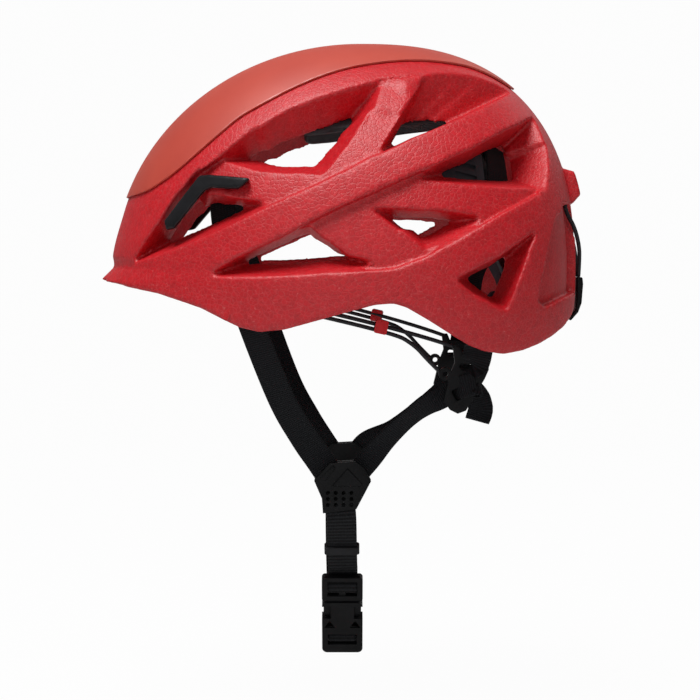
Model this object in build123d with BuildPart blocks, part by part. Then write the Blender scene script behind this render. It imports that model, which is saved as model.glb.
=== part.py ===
"""Climbing helmet: expanded-foam shell with a crown cap, fit system, straps and side-release buckle.

Frame: +Z up, wearer faces -X, wearer's left is -Y. The origin is the head's centre at the headband.
"""
from build123d import *
from math import acos, cos, pi, radians, sin, sqrt, tan
import os

os.makedirs("parts", exist_ok=True)

# ---------------------------------------------------------------- shell skins
# A skin is (front reach, rear reach, height, half breadth) about the crown line at CROWN_X.
CROWN_X = 10.0
SKIN_STEPS, SKIN_SECTORS = 12, 32
REAR_FULLNESS = 2.5                      # exponent of the rear quarter's superellipse
OUTER = (142.0, 124.4, 129.4, 106.0)
CAVITY = (122.0, 103.0, 108.0, 86.0)
CAVITY_DEPTH = 60.0                      # straight walls below the headband
STRUT_RECESS = 5.0                       # inner lattice lies this far below the outer skin
CROWN_RECESS = 5.0                       # the crown strut's at its foot; it runs out towards the crown
LIP_REACH, LIP_TOP, LIP_LOW = 8.5, 2.0, -6.0
LIP_END_X = -60.0
VENT_RUN_OUT, VENT_RUN_IN = 14.0, 9.0
SEAT_GAP = 0.2                           # rigid piece on foam
SOFT_GAP = 0.3                           # soft piece beside its neighbour
RUN_GAP = 0.06                           # pin or shaft in its hole, radial
SLIDE_GAP = 0.25

CAP_THICKNESS = 1.2
LINER_THICKNESS = 10.0
PAD_THICKNESS = 6.0

SPINE_HALF_WIDTH = 20.0
TAIL_BLOCK_HALF_WIDTH = 20.0

# ---------------------------------------------------------------- webbing and cords
WEB_WIDTH, WEB_THICKNESS = 16.0, 1.5
CORD_DIAMETER = 2.3
BUNGEE_DIAMETER = 2.4

# ---------------------------------------------------------------- fit system
CRADLE_X, CRADLE_Z = 93.0, -24.0         # head side of the housing, height of its centre
HOUSING_HALF_WIDTH, HOUSING_WALL = 34.0, 2.0
RACK_THICKNESS, RACK_BODY = 2.6, 3.0
COVER_THICKNESS = 2.0
PINION_TEETH, MODULE = 12, 1.0
PRESSURE_ANGLE = radians(20)
PINION_ADDENDUM, RACK_ADDENDUM, TOOTH_CLEARANCE = 0.9, 0.6, 0.2
BACKLASH = 0.08
DIAL_RADIUS, DIAL_THICKNESS, DIAL_FLUTES = 15.5, 7.6, 18
TILT_X, TILT_Z = 70.5, 38.0              # cradle's hinge, across the head
PIN_RADIUS = 2.4
EYE_OUT, EYE_THICKNESS, EYE_RADIUS = 60.4, 2.6, 5.5
HANGER_THICKNESS, GROOVE_DEPTH, BOSS_RADIUS = 2.4, 1.3, 4.6

# ---------------------------------------------------------------- strap hardware
ADJUSTER_Y, ADJUSTER_THICKNESS = -60.0, 5.0
DIVIDER_Y, DIVIDER_PLATE, DIVIDER_SPACE = -48.4, 2.4, 4.2
BUCKLE_TOP = Vector(-0.4, -26.0, -175.6)
BUCKLE_LEAN = 21.0                       # degrees off the vertical
BUCKLE_WIDTH, BUCKLE_DEPTH, BUCKLE_LENGTH = 23.6, 8.0, 49.7
MALE_LENGTH = 15.6
KEEPER_DROP, KEEPER_LENGTH = 22.0, 5.0   # keeper's way down the strap, and its length

RIM_OUTLINE = [
    (-150, -4), (-126, -7), (-100, -11.5), (-77, -19), (-56, -29), (-45, -31.5), (-31, -30),
    (-1, -21.5), (17, -16.6), (27, -15.8), (34, -18), (46, -25), (60, -34), (68, -38.8), (76, -42),
    (87, -44), (98, -42.4), (107.5, -39.3), (115.5, -35.5), (122.5, -31.2), (128, -26), (132.4, -20),
    (135.5, -13), (142, 4),
]


def grown(skin, by):
    """The skin moved outwards by a distance."""
    return tuple(size + by for size in skin)


def crest(x, skin):
    """Height of the skin's crown line at x."""
    front, rear, height, _ = skin
    if x < CROWN_X:
        return height * sqrt(max(0.0, 1 - ((CROWN_X - x) / front) ** 2))
    return height * max(0.0, 1 - ((x - CROWN_X) / rear) ** REAR_FULLNESS) ** (1 / REAR_FULLNESS)


def half_breadth(x, z, skin):
    """Half breadth of the skin at x and height z."""
    return skin[3] / skin[2] * sqrt(max(0.0, crest(x, skin) ** 2 - z * z))


def skin_profile(skin, steps):
    """Side-view points of a skin, from its front pole over the crown to its rear pole."""
    front, rear, height, _ = skin
    power = 2 / REAR_FULLNESS
    turns = [pi / 2 * step / steps for step in range(steps + 1)]
    ahead = [(CROWN_X - front * cos(t), height * sin(t)) for t in turns]
    behind = [(CROWN_X + rear * sin(t) ** power, height * max(0.0, cos(t)) ** power) for t in turns[1:-1]]
    return ahead + behind + [(CROWN_X + rear, 0.0)]


def half_dome(skin, steps=SKIN_STEPS, sectors=SKIN_SECTORS):
    """Left half of the solid inside a skin, in flat panels: the profile turned about X and narrowed."""
    squeeze = skin[3] / skin[2]
    profile = skin_profile(skin, steps)
    turns = [pi * sector / sectors for sector in range(sectors + 1)]
    rows = [[Vector(x, -squeeze * z * sin(t), z * cos(t)) for t in turns] for x, z in profile[1:-1]]
    poles = [Vector(x, 0, 0) for x, _ in (profile[0], profile[-1])]
    panels = []
    for k in range(sectors):
        panels.append([poles[0], rows[0][k], rows[0][k + 1]])
        panels.append([poles[1], rows[-1][k], rows[-1][k + 1]])
        for row, beyond in zip(rows, rows[1:]):
            panels.append([row[k], row[k + 1], beyond[k + 1], beyond[k]])
    middle = [poles[0]] + [row[0] for row in rows] + [poles[1]] + [row[-1] for row in reversed(rows)]
    panels.append(middle)
    return Solid(Shell([Face(Wire.make_polygon(corners, close=True)) for corners in panels]))


def plan_half(skin):
    """Plan-view points of the left half of a skin at the headband."""
    return [(x, -z * skin[3] / skin[2]) for x, z in skin_profile(skin, SKIN_STEPS)]


def side_prism(points, near=-140.0, far=0.0, grow=0.0):
    """A side-view outline run across the helmet from y=near to y=far."""
    with BuildPart(mode=Mode.PRIVATE) as block:
        with BuildSketch(Plane.XZ.offset(-far)):
            with BuildLine():
                Polyline(*points, close=True)
            make_face()
            if grow:
                offset(amount=grow, kind=Kind.INTERSECTION)
        extrude(amount=far - near)
    return block.part


def skin_layer(skin, outer_by, inner_by, outline, **reach):
    """Left half of a layer between two offsets of a skin, trimmed to a side-view outline."""
    layer = half_dome(grown(skin, outer_by)) - half_dome(grown(skin, inner_by))
    return layer & side_prism(outline, **reach)


def on_skin(x, z, skin, least=0.0):
    """Point of the left half of a skin, kept at least some way from the middle."""
    return Vector(x, -max(half_breadth(x, z, skin), least), z)


def vent_core(outer, inner):
    """Tapered plug of a vent: an outline on the outer skin joined to one on the cavity, run out past both."""
    mouth, throat = [], []
    for (x_out, z_out), (x_in, z_in) in zip(outer, inner):
        start = on_skin(x_out, z_out, OUTER)
        end = on_skin(x_in, z_in, CAVITY, least=34.0)
        run = (start - end).normalized()
        mouth.append(start + run * VENT_RUN_OUT)
        throat.append(end - run * VENT_RUN_IN)
    sides = []
    count = len(mouth)
    mouth_middle = sum(mouth, Vector()) / count
    throat_middle = sum(throat, Vector()) / count
    for i in range(count):
        j = (i + 1) % count
        sides += [
            (mouth[i], mouth[j], throat[i]), (mouth[j], throat[j], throat[i]),
            (mouth[i], mouth[j], mouth_middle), (throat[i], throat[j], throat_middle),
        ]
    return Solid(Shell([Face(Wire.make_polygon(corners, close=True)) for corners in sides]))


def write(part, label):
    part.label = label
    export_step(part, f"parts/{label}.step")


def write_pair(part, name):
    """Writes a left-hand piece and its mirror image."""
    write(part, f"{name}_left")
    write(mirror(part, about=Plane.XZ), f"{name}_right")


# ================================================================ foam body
# Vents of the left side, front to rear: (outline on the outer skin, outline on the cavity).
VENTS = {
    "upper_front": (
        [(-71, 60), (-45, 79), (-23, 91), (-1, 99), (23, 106), (18, 90), (4, 67), (-9, 51), (-28, 52),
         (-50, 54)],
        [(-52, 61.5), (-40, 67), (-24, 74), (-7, 80.5), (5, 85), (-2, 75), (-8, 67), (-16, 58), (-29, 58),
         (-41, 60)],
    ),
    "upper_rear": (
        [(47, 109), (66, 110), (78, 108), (95, 101), (64, 84), (42, 74.5), (16, 62), (26, 78), (37, 95)],
        [(33, 81), (42, 82.5), (50, 82.4), (57, 82), (47, 77.5), (37, 73.5), (25, 68), (27, 72), (30, 77)],
    ),
    "rear_window": (
        [(36, 50), (52, 59), (75, 70), (99, 82), (108, 86), (114, 71), (114, 57), (111, 45), (74, 46)],
        [(52, 53), (62, 57.5), (78, 66), (90, 71), (96, 72.5), (95, 63), (94, 55), (92.5, 51), (76, 51)],
    ),
    "middle_slot": (
        [(10, 37), (52, 35), (83, 31), (62, 18), (45, 10), (28, 23)],
        [(24, 30), (42, 29.6), (60, 29), (52, 24), (42, 20), (33, 24)],
    ),
    "lower_window": (
        [(-74, -2), (-55, 9), (-33, 19), (-17, 27), (-7, 18), (7, 8), (28, 3), (9, 1), (-12, 0), (-55, -2)],
        [(-54, 5), (-45, 9.5), (-30, 16), (-18, 21), (-10, 15.5), (-3, 10.5), (2, 8), (-4, 7.5), (-14, 6.8),
         (-46, 5.2)],
    ),
    "brow_window": (
        [(-115.5, 4), (-101, 28), (-89, 45), (-78, 57), (-70, 45), (-52, 41), (-35, 38), (-77, 18.5)],
        [(-98, 16), (-92, 25), (-85, 33), (-78.5, 38.5), (-70, 38), (-60, 37), (-50, 36.5), (-76, 25)],
    ),
    "nape_window": (
        [(60, -3), (84, 9), (106, 23), (101, 12), (96, -1), (88, -20), (79, -16), (68, -10)],
        [(67, -3), (80, 3), (90, 8), (88, 2), (85, -5), (81, -13), (77, -10), (71, -6)],
    ),
}
CROWN_STRUT = [(-16, 46.5), (3, 55.5), (24, 67), (47.5, 107.6), (42, 108.6), (19, 105.3)]
# Ground between the vents that lies one recess below the outer skin.
RECESSES = {
    "temple_strut": [(-84, 50.5), (-77.5, 55.3), (-72, 59.3), (-60, 66), (-44, 60), (-14, 57), (-6, 51.5),
                     (-23, 43.5), (-43, 34.5), (-48, 34), (-71, 37)],
    "rear_strut": [(6, 35), (20, 44.5), (42, 54.5), (60, 54), (109, 52.4), (108.4, 45.6), (106, 42.6),
                   (85, 32), (72, 24.5), (52, 28), (20, 30)],
    "middle_strut": [(-24, 24), (-17, 27.4), (1.3, 36.4), (17, 43), (24, 36), (50, 16), (52, 14), (45, 9.5),
                     (28, 3), (12, 1.5), (-2, 8), (-14, 16)],
}
TAIL_RECESS = [(117.5, 31), (113, 15), (109, -1), (106, -15), (110, -19), (120, -15), (150, -7), (150, 38),
               (121.5, 38), (121, 32)]
# Foam block and pocket of the bungee, and its knots.
TAIL_BLOCK = [(118, 59), (125.5, 58.8), (132.6, 57), (134.6, 51), (136.4, 43.6), (131.4, 38), (118, 38)]
BUNGEE_POCKET = [(125, 38), (150, 38), (150, 12), (134, 12)]
KNOT_X, KNOT_Y, KNOT_Z, KNOT_RADIUS = 127.5, -16.0, 38.6, 2.0

# Lamp clip of the left side: a bent bar on the temple strut whose arm crosses the brow window.
CLIP_OUTLINE = [(-98, 28), (-96.5, 23), (-92, 24), (-75, 44.5), (-71, 46), (-56, 45), (-49, 51), (-72, 53.2),
                (-78, 53)]
CLIP_PROUD, CLIP_STUD_RADIUS, CLIP_STUD_LENGTH = 1.5, 2.5, 12.0
CLIP_STUD_X, CLIP_STUD_Z = -62.0, 48.5

below_rim = side_prism(RIM_OUTLINE + [(160, -150), (-160, -150)])
recess_floor = half_dome(grown(OUTER, -STRUT_RECESS))
crown_floor = half_dome((*OUTER[:3], OUTER[3] - CROWN_RECESS))
stud_head = on_skin(CLIP_STUD_X, CLIP_STUD_Z, grown(OUTER, -STRUT_RECESS))
stud_plane = Plane(stud_head, z_dir=Vector(CROWN_X, 0, 10) - stud_head)

with BuildPart() as brim_lip:
    lip_high = plan_half(OUTER)
    lip_low = [(x - LIP_REACH * max(0, (CROWN_X - x) / OUTER[0]) ** 4, y) for x, y in lip_high]
    for height, edge in ((LIP_TOP, lip_high), (LIP_LOW, lip_low), (LIP_LOW - 20, lip_low)):
        with BuildSketch(Plane.XY.offset(height)):
            with BuildLine():
                Polyline(*[point for point in edge if point[0] < LIP_END_X], (LIP_END_X, 0), close=True)
            make_face()
    loft(ruled=True)
with BuildPart() as well:
    with BuildSketch(Plane.XY.offset(1)):
        with BuildLine():
            Polyline(*plan_half(CAVITY), close=True)
        make_face()
    extrude(amount=-CAVITY_DEPTH)
cuts = [below_rim, half_dome(CAVITY), well.part]
cuts += [side_prism(outline) - recess_floor for outline in RECESSES.values()]
cuts.append(side_prism(CROWN_STRUT) - crown_floor)
cuts.append(side_prism(CLIP_OUTLINE, grow=SOFT_GAP) - recess_floor)
cuts.append(side_prism(TAIL_RECESS, far=-SPINE_HALF_WIDTH) - recess_floor)
cuts.append(side_prism(BUNGEE_POCKET, near=-SPINE_HALF_WIDTH - 1, far=-9.0))
cuts += [vent_core(*outlines) for outlines in VENTS.values()]
with BuildPart() as foam_half:
    add(half_dome(OUTER))
    add(brim_lip.part)
    add(side_prism(TAIL_BLOCK, near=-TAIL_BLOCK_HALF_WIDTH))
    for cut in cuts:
        add(cut, mode=Mode.SUBTRACT)
    with Locations((KNOT_X, KNOT_Y, KNOT_Z - 1)):
        Cylinder(KNOT_RADIUS + 0.6, KNOT_RADIUS * 2 + 3, mode=Mode.SUBTRACT)
    with Locations(stud_plane):
        Cylinder(CLIP_STUD_RADIUS + SEAT_GAP / 2, 2 * CLIP_STUD_LENGTH + 1, mode=Mode.SUBTRACT)
with BuildPart() as foam_body:
    add(foam_half.part)
    mirror(about=Plane.XZ)
write(foam_body.part, "foam_body")

# ================================================================ crown cap, liner and pads
SEAM = [(-170, 42), (-125, 42), (-111, 45), (-102, 49.5), (-90, 57.5), (-68, 76), (-57, 85), (-46, 91.5),
        (-24, 103), (-2, 111.7), (21, 116.7), (44, 118.5), (67, 116.6), (79, 113.6), (88, 109.8), (94, 106.6),
        (97.5, 104.2), (98.5, 150), (-170, 150)]
LINER_EDGE = [(-24, 75), (62, 84), (62, 150), (-24, 150)]
PAD_EDGE = [(-40, 60), (48, 60), (48, 150), (-40, 150)]
BROW_EDGE = [(-140, 3), (-79, 3), (-79, 15), (-140, 15)]
PAD_HALF_WIDTH = 28.0


def both_halves(half, label):
    """Joins a left half to its mirror image across the middle plane."""
    with BuildPart() as whole:
        add(half)
        mirror(about=Plane.XZ)
    write(whole.part, label)


both_halves(skin_layer(OUTER, SEAT_GAP + CAP_THICKNESS, SEAT_GAP, SEAM), "crown_shell")
liner_out = -SEAT_GAP
liner_in = liner_out - LINER_THICKNESS
both_halves(skin_layer(CAVITY, liner_out, liner_in, LINER_EDGE), "crown_liner")
pad_out = liner_in - SOFT_GAP
both_halves(
    skin_layer(CAVITY, pad_out, pad_out - PAD_THICKNESS, PAD_EDGE, near=-PAD_HALF_WIDTH),
    "crown_pad")
both_halves(skin_layer(CAVITY, -SOFT_GAP, -SOFT_GAP - PAD_THICKNESS, BROW_EDGE), "brow_pad")

# ================================================================ lamp clips
with BuildPart() as headlamp_clip:
    add(skin_layer(OUTER, CLIP_PROUD, SEAT_GAP - STRUT_RECESS, CLIP_OUTLINE))
    with Locations(stud_plane.offset(-1.5)):
        Cylinder(CLIP_STUD_RADIUS, CLIP_STUD_LENGTH + 1.5, align=(Align.CENTER, Align.CENTER, Align.MIN))
write_pair(headlamp_clip.part, "headlamp_clip")


# ================================================================ straps
def wall_normal(x, z, skin=CAVITY):
    """Outward unit normal of the left half of a skin; below the headband the wall is upright."""
    z = max(z, 0.0)
    step = 0.5
    here = on_skin(x, z, skin)
    along = on_skin(x + step, z, skin) - here
    up = on_skin(x, z + step, skin) - here if z else Vector(0, 0, 1)
    return along.cross(up).normalized()


def wall_station(x, z, inset):
    """A point just inside the cavity wall with the wall's normal there."""
    normal = wall_normal(x, z)
    return on_skin(x, max(z, 0.0), CAVITY) - normal * inset + Vector(0, 0, min(z, 0.0)), normal


def flat_strap(stations, width=WEB_WIDTH, thickness=WEB_THICKNESS):
    """Strap through (point, face normal) stations, added to the part being built."""
    sections = []
    for number, (point, normal) in enumerate(stations):
        ahead = stations[min(number + 1, len(stations) - 1)][0]
        behind = stations[max(number - 1, 0)][0]
        run = (ahead - behind).normalized()
        across = run.cross(normal).normalized()
        with BuildSketch(Plane(point, x_dir=across, z_dir=run)) as section:
            Rectangle(width, thickness)
        sections.append(section.sketch)
    loft(sections, ruled=True)


WALL_INSET = WEB_THICKNESS / 2 + 1.1
LAYER = WEB_THICKNESS / 2 + 0.2          # straps lie in two layers inside the divider
FRONT_TOP, REAR_TOP = (-68.0, 50.0), (86.0, 71.0)
OUTWARD = Vector(0, -1, 0)

with BuildPart() as front_webbing:
    flat_strap([
        wall_station(*FRONT_TOP, WALL_INSET), wall_station(-67, 33, WALL_INSET),
        wall_station(-63, 12, WALL_INSET), wall_station(-57, -8, WALL_INSET),
        wall_station(-50, -30, WALL_INSET), (Vector(-34, -63, -70), Vector(-0.25, -0.95, -0.15)),
        (Vector(-22, -54.5, -92), Vector(-0.1, -1, -0.1)),
        (Vector(-13.5, DIVIDER_Y - LAYER, -105), OUTWARD), (Vector(-8.5, DIVIDER_Y - LAYER, -112.5), OUTWARD),
    ])
write_pair(front_webbing.part, "front_webbing")

with BuildPart() as rear_webbing:
    flat_strap([
        wall_station(*REAR_TOP, WALL_INSET), wall_station(87, 58, WALL_INSET),
        wall_station(87, 44, WALL_INSET), wall_station(85, 30, WALL_INSET),
        wall_station(79, 16, WALL_INSET), wall_station(71.5, 2, WALL_INSET),
        wall_station(69, -10, WALL_INSET), wall_station(70, -24, WALL_INSET),
        (Vector(74.6, -69.4, -35.6), Vector(0.3, -0.95, 0)), (Vector(75, ADJUSTER_Y - 1, -42.4), OUTWARD),
    ])
write_pair(rear_webbing.part, "rear_webbing")

WINDOW_X, WINDOW_Z = 66.5, -66.0         # middle of the adjuster's strap window
with BuildPart() as rear_strap:
    flat_strap([
        (Vector(8, DIVIDER_Y + LAYER, -113.5), OUTWARD), (Vector(14.5, DIVIDER_Y + LAYER, -106), OUTWARD),
        (Vector(25, -49, -95), Vector(0.1, -1, 0.1)), (Vector(37, -51.5, -83.5), Vector(0.2, -1, 0.2)),
        (Vector(47, -55.5, -75), Vector(0.15, -1, 0.1)),
        (Vector(53, ADJUSTER_Y + 0.4, -70), Vector(0.1, -1, 0)),
    ], width=13.0)
write_pair(rear_strap.part, "rear_strap")

with BuildPart() as strap_tail:
    flat_strap([
        (Vector(69, ADJUSTER_Y + 3.6, -66), OUTWARD), (Vector(73, ADJUSTER_Y + 4, -71.5), OUTWARD),
        (Vector(76.5, ADJUSTER_Y + 4.6, -77), OUTWARD),
    ], width=14.0, thickness=1.4)
write_pair(strap_tail.part, "strap_tail")


def wall_plate(x, z, length, height, thickness):
    """Small anchor plate on a strap's inner face, added to the part being built."""
    point, normal = wall_station(x, z, 2 * WALL_INSET + thickness / 2 - 0.2)
    with Locations(Plane(point, x_dir=Vector(0, 0, 1).cross(normal), z_dir=normal)):
        Box(length, height, thickness)


ANCHOR = (15.6, 10.0, 1.6)               # along the wall, up it, thick
for name, (x, z) in (("front_anchor", FRONT_TOP), ("rear_anchor", REAR_TOP)):
    with BuildPart() as anchor:
        wall_plate(x, z - 4, *ANCHOR)
    write_pair(anchor.part, name)

# ================================================================ cords
CORD_GAP = 3.0                           # between the two cords' middles
CORD_ANCHOR = (10.0, 5.0, 9.0)


def cord(points, diameter, tangents):
    """Round cord: straight runs joined by arcs; tangents are the arcs' lengths along their runs."""
    points = [Vector(*point) for point in points]
    radii = []
    for before, corner, after, reach in zip(points, points[1:], points[2:], tangents):
        turn = radians((corner - before).get_angle(after - corner))
        radii.append(reach / tan(turn / 2))
    with BuildLine() as route:
        FilletPolyline(*points, radius=radii)
    with BuildSketch(Plane(points[0], z_dir=points[1] - points[0])) as section:
        Circle(diameter / 2)
    sweep(section.sketch, path=route.line)


CORD_START, CORD_TURN = Vector(-30, -76.6, -16.6), Vector(31, -71.2, -30.4)
CORD_WAY = (CORD_TURN - CORD_START).normalized()
CORD_DROP = CORD_WAY.cross(Vector(0, 1, 0)).normalized() * CORD_GAP
CORD_DROP = CORD_DROP if CORD_DROP.Z < 0 else -CORD_DROP
UPPER_END = Vector(60.4, -60.8, -40.2)
LOWER_END = Vector(53.0, -60.6, -54.6)
cords = {
    "temple_cord_upper": ([CORD_START, CORD_TURN, UPPER_END], [4.0]),
    "temple_cord_lower": (
        [CORD_START + CORD_DROP, CORD_TURN + CORD_DROP - CORD_WAY * 3, Vector(39.8, -67, -40.2),
         Vector(47, -63.5, -48.6), LOWER_END], [4.0, 4.5, 4.0]),
}
for name, (points, reaches) in cords.items():
    with BuildPart() as strand:
        cord(points, CORD_DIAMETER, reaches)
    write_pair(strand.part, name)

anchor_middle = CORD_START - CORD_WAY * 6.0 + CORD_DROP / 2 + Vector(0, 2.4, 0)
with BuildPart() as cord_anchor:
    with Locations(Plane(anchor_middle, x_dir=CORD_WAY, z_dir=(0, 0, 1))):
        Box(*CORD_ANCHOR)
write_pair(cord_anchor.part, "cord_anchor")

CLIP_AT, CLIP_SIZE = 0.84, (7.0, 5.2, 7.6)
clip_middle = CORD_START + (CORD_TURN - CORD_START) * CLIP_AT + CORD_DROP / 2
with BuildPart() as cord_clip:
    with Locations(Plane(clip_middle, x_dir=CORD_WAY, z_dir=-CORD_DROP)):
        Box(*CLIP_SIZE)
    chamfer(cord_clip.edges().filter_by(lambda edge: abs(edge.length - CLIP_SIZE[1]) < 0.01), 0.8)
    for shift in (-0.5, 0.5):
        with Locations(Plane(clip_middle + CORD_DROP * shift, z_dir=CORD_WAY)):
            Cylinder(CORD_DIAMETER / 2 + SLIDE_GAP, 20, mode=Mode.SUBTRACT)
write_pair(cord_clip.part, "cord_clip")

# ================================================================ strap adjuster
ADJUSTER_OUTLINE = [(60.8, -40.3), (64.3, -40.3), (66, -44.2), (70, -44.2), (80.6, -47.5), (80.8, -53.9),
                    (78.6, -58.9), (68.2, -76.7), (63.7, -78.4), (59.3, -76.2), (55.9, -71.3), (59.5, -56.4),
                    (62, -50)]
EYELET = (56.8, -56.4)
with BuildPart() as strap_adjuster:
    with BuildSketch(Plane.XZ.offset(-ADJUSTER_Y - ADJUSTER_THICKNESS / 2)):
        with BuildLine():
            Polyline(*ADJUSTER_OUTLINE, close=True)
        make_face()
        with Locations(EYELET):
            Circle(3.6)
            Circle(1.5, mode=Mode.SUBTRACT)
        with Locations(Location((WINDOW_X, WINDOW_Z), 28)):
            RectangleRounded(11.5, 6.6, 1.2, mode=Mode.SUBTRACT)
        with Locations(Location((71, -52.5), -8)):
            RectangleRounded(13, 3.2, 1.2, mode=Mode.SUBTRACT)
    extrude(amount=ADJUSTER_THICKNESS)
write_pair(strap_adjuster.part, "strap_adjuster")

# ================================================================ strap dividers
DIVIDER_OUTLINE = [(-16.1, -117), (-7.2, -107), (7.2, -106.2), (12.1, -110), (15.8, -117.3), (7.6, -133),
                   (-11.2, -135.4), (-11.8, -127)]
RIVETS = [(-13.2, -117.2), (12.3, -121), (0, -108.6)]
DOT_COLUMNS, DOT_ROWS, DOT_PITCH_X, DOT_PITCH_Z = 4, 3, 4.4, 3.4
for name, face_y in (("divider_cover", DIVIDER_Y - DIVIDER_SPACE / 2 - DIVIDER_PLATE),
                     ("divider_base", DIVIDER_Y + DIVIDER_SPACE / 2)):
    with BuildPart() as divider:
        with BuildSketch(Plane.XZ.offset(-face_y - DIVIDER_PLATE)):
            with BuildLine():
                Polyline(*DIVIDER_OUTLINE, close=True)
            make_face()
            if name == "divider_cover":
                with Locations((-1.8, -127.2)):
                    with GridLocations(DOT_PITCH_X, DOT_PITCH_Z, DOT_COLUMNS, DOT_ROWS):
                        Circle(1.1, mode=Mode.SUBTRACT)
        extrude(amount=DIVIDER_PLATE)
        if name == "divider_base":
            with BuildSketch(Plane.XZ.offset(-DIVIDER_Y + DIVIDER_SPACE / 2 - 0.1)):
                with Locations(*RIVETS):
                    Circle(1.1)
            extrude(amount=-DIVIDER_SPACE)
    write_pair(divider.part, name)

# ================================================================ chin strap, keeper and buckle
lean = radians(BUCKLE_LEAN)
BUCKLE_DOWN = Vector(0, sin(lean), -cos(lean))
BUCKLE_OUT = Vector(0, -cos(lean), -sin(lean))
buckle_plane = Plane(BUCKLE_TOP, x_dir=(1, 0, 0), z_dir=BUCKLE_OUT)
STRAP_TOP = Vector(-1.6, DIVIDER_Y, -130)
STRAP_MID = Vector(-0.8, DIVIDER_Y + 2.2, -139.5)
MALE_SLOT = (2.6, 12.2)                  # down the buckle from its top
MOUTH = 16.0
LOOP_AT, LOOP_BAR = 40.9, 1.5


def buckle_face(depth):
    """Sketch plane across the buckle at a depth from its middle, towards the front."""
    return buckle_plane.offset(depth)


strap_end = BUCKLE_TOP - BUCKLE_DOWN * 0.7 - BUCKLE_OUT * 1.4
strap_way = (strap_end - STRAP_MID).normalized()
strap_face = strap_way.cross(Vector(1, 0, 0)).normalized()
strap_face = strap_face if strap_face.Y < 0 else -strap_face
with BuildPart() as chin_left:
    flat_strap([(STRAP_TOP, OUTWARD), (STRAP_MID, OUTWARD * 2 + strap_face), (strap_end, strap_face)])
write(chin_left.part, "chin_webbing_left")

keeper_middle = STRAP_MID + strap_way * KEEPER_DROP
keeper_plane = Plane(keeper_middle, x_dir=(1, 0, 0), z_dir=strap_way)
with BuildPart() as strap_keeper:
    with BuildSketch(keeper_plane.offset(-KEEPER_LENGTH / 2)):
        RectangleRounded(WEB_WIDTH + 4, WEB_THICKNESS + 4, 1.5)
        Rectangle(WEB_WIDTH + 2 * SLIDE_GAP + 0.6, WEB_THICKNESS + 2 * SLIDE_GAP, mode=Mode.SUBTRACT)
    extrude(amount=KEEPER_LENGTH)
write(strap_keeper.part, "strap_keeper")

with BuildPart() as buckle_male:
    with BuildSketch(buckle_face(-BUCKLE_DEPTH / 2 + 1)):
        with Locations((0, -MALE_LENGTH / 2)):
            RectangleRounded(BUCKLE_WIDTH, MALE_LENGTH, 2.0)
        with Locations((0, -sum(MALE_SLOT) / 2)):
            RectangleRounded(WEB_WIDTH + 1.4, MALE_SLOT[1] - MALE_SLOT[0], 0.8, mode=Mode.SUBTRACT)
    extrude(amount=BUCKLE_DEPTH - 2)
    with Locations(buckle_face(0)):
        with Locations((0, -(MALE_LENGTH + 14) / 2 - MALE_LENGTH / 2 + 6)):
            Box(4.0, 16.0, 3.2)
write(buckle_male.part, "buckle_male")

PRONG_X, PRONG_WIDTH, PRONG_END, EAR_REACH, EAR_TOP = 7.4, 2.4, 28.0, 10.9, 19.2
with BuildPart() as buckle_prongs:
    for hand in (-1, 1):
        with BuildSketch(buckle_face(-1.6)):
            with BuildLine():
                Polyline(
                    (hand * (PRONG_X - PRONG_WIDTH / 2), -MALE_LENGTH - 0.05),
                    (hand * (PRONG_X - PRONG_WIDTH / 2), -PRONG_END),
                    (hand * (PRONG_X + PRONG_WIDTH / 2), -PRONG_END),
                    (hand * EAR_REACH, -EAR_TOP - 4.5), (hand * EAR_REACH, -EAR_TOP),
                    (hand * (PRONG_X + PRONG_WIDTH / 2), -EAR_TOP),
                    (hand * (PRONG_X + PRONG_WIDTH / 2), -MALE_LENGTH - 0.05), close=True)
            make_face()
        extrude(amount=3.2)
write(buckle_prongs.part, "buckle_prongs")

with BuildPart() as buckle_female:
    with BuildSketch(buckle_face(-BUCKLE_DEPTH / 2)):
        with Locations((0, -(MOUTH + BUCKLE_LENGTH) / 2)):
            RectangleRounded(BUCKLE_WIDTH, BUCKLE_LENGTH - MOUTH, 3.0)
        for hand in (-1, 1):
            with Locations((hand * 7.4, -31.2)):
                Triangle(a=6.5, b=6.0, c=6.0, mode=Mode.SUBTRACT)
        with Locations((0, -LOOP_AT)):
            Rectangle(WEB_WIDTH + 1, 6.9, mode=Mode.SUBTRACT)
    extrude(amount=BUCKLE_DEPTH)
    with Locations(buckle_face(0)):
        with Locations((0, -(MOUTH + 34.0) / 2 + 0.5)):
            Box(19.4, 34.0 - MOUTH + 1, 3.8, mode=Mode.SUBTRACT)
        for hand in (-1, 1):
            with Locations((hand * 9.6, -22.6)):
                Box(5.6, 8.2, 20, mode=Mode.SUBTRACT)
        with Locations(Location((0, -LOOP_AT, 0), (0, 90, 0))):
            Cylinder(LOOP_BAR, WEB_WIDTH + 2)
write(buckle_female.part, "buckle_female")

LOOP_IN, LOOP_OUT = LOOP_BAR + 0.3, LOOP_BAR + 1.75
with BuildPart() as chin_loop:
    with Locations(buckle_face(0)):
        with Locations(Location((0, -LOOP_AT, 0), (0, 90, 0))):
            Cylinder(LOOP_OUT, WEB_WIDTH)
        with Locations((0, -LOOP_AT, -4.2)):
            Box(WEB_WIDTH, 2.9, 5.0)
        with Locations(Location((0, -LOOP_AT, 0), (0, 90, 0))):
            Cylinder(LOOP_IN, WEB_WIDTH + 2, mode=Mode.SUBTRACT)
write(chin_loop.part, "chin_loop")

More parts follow.
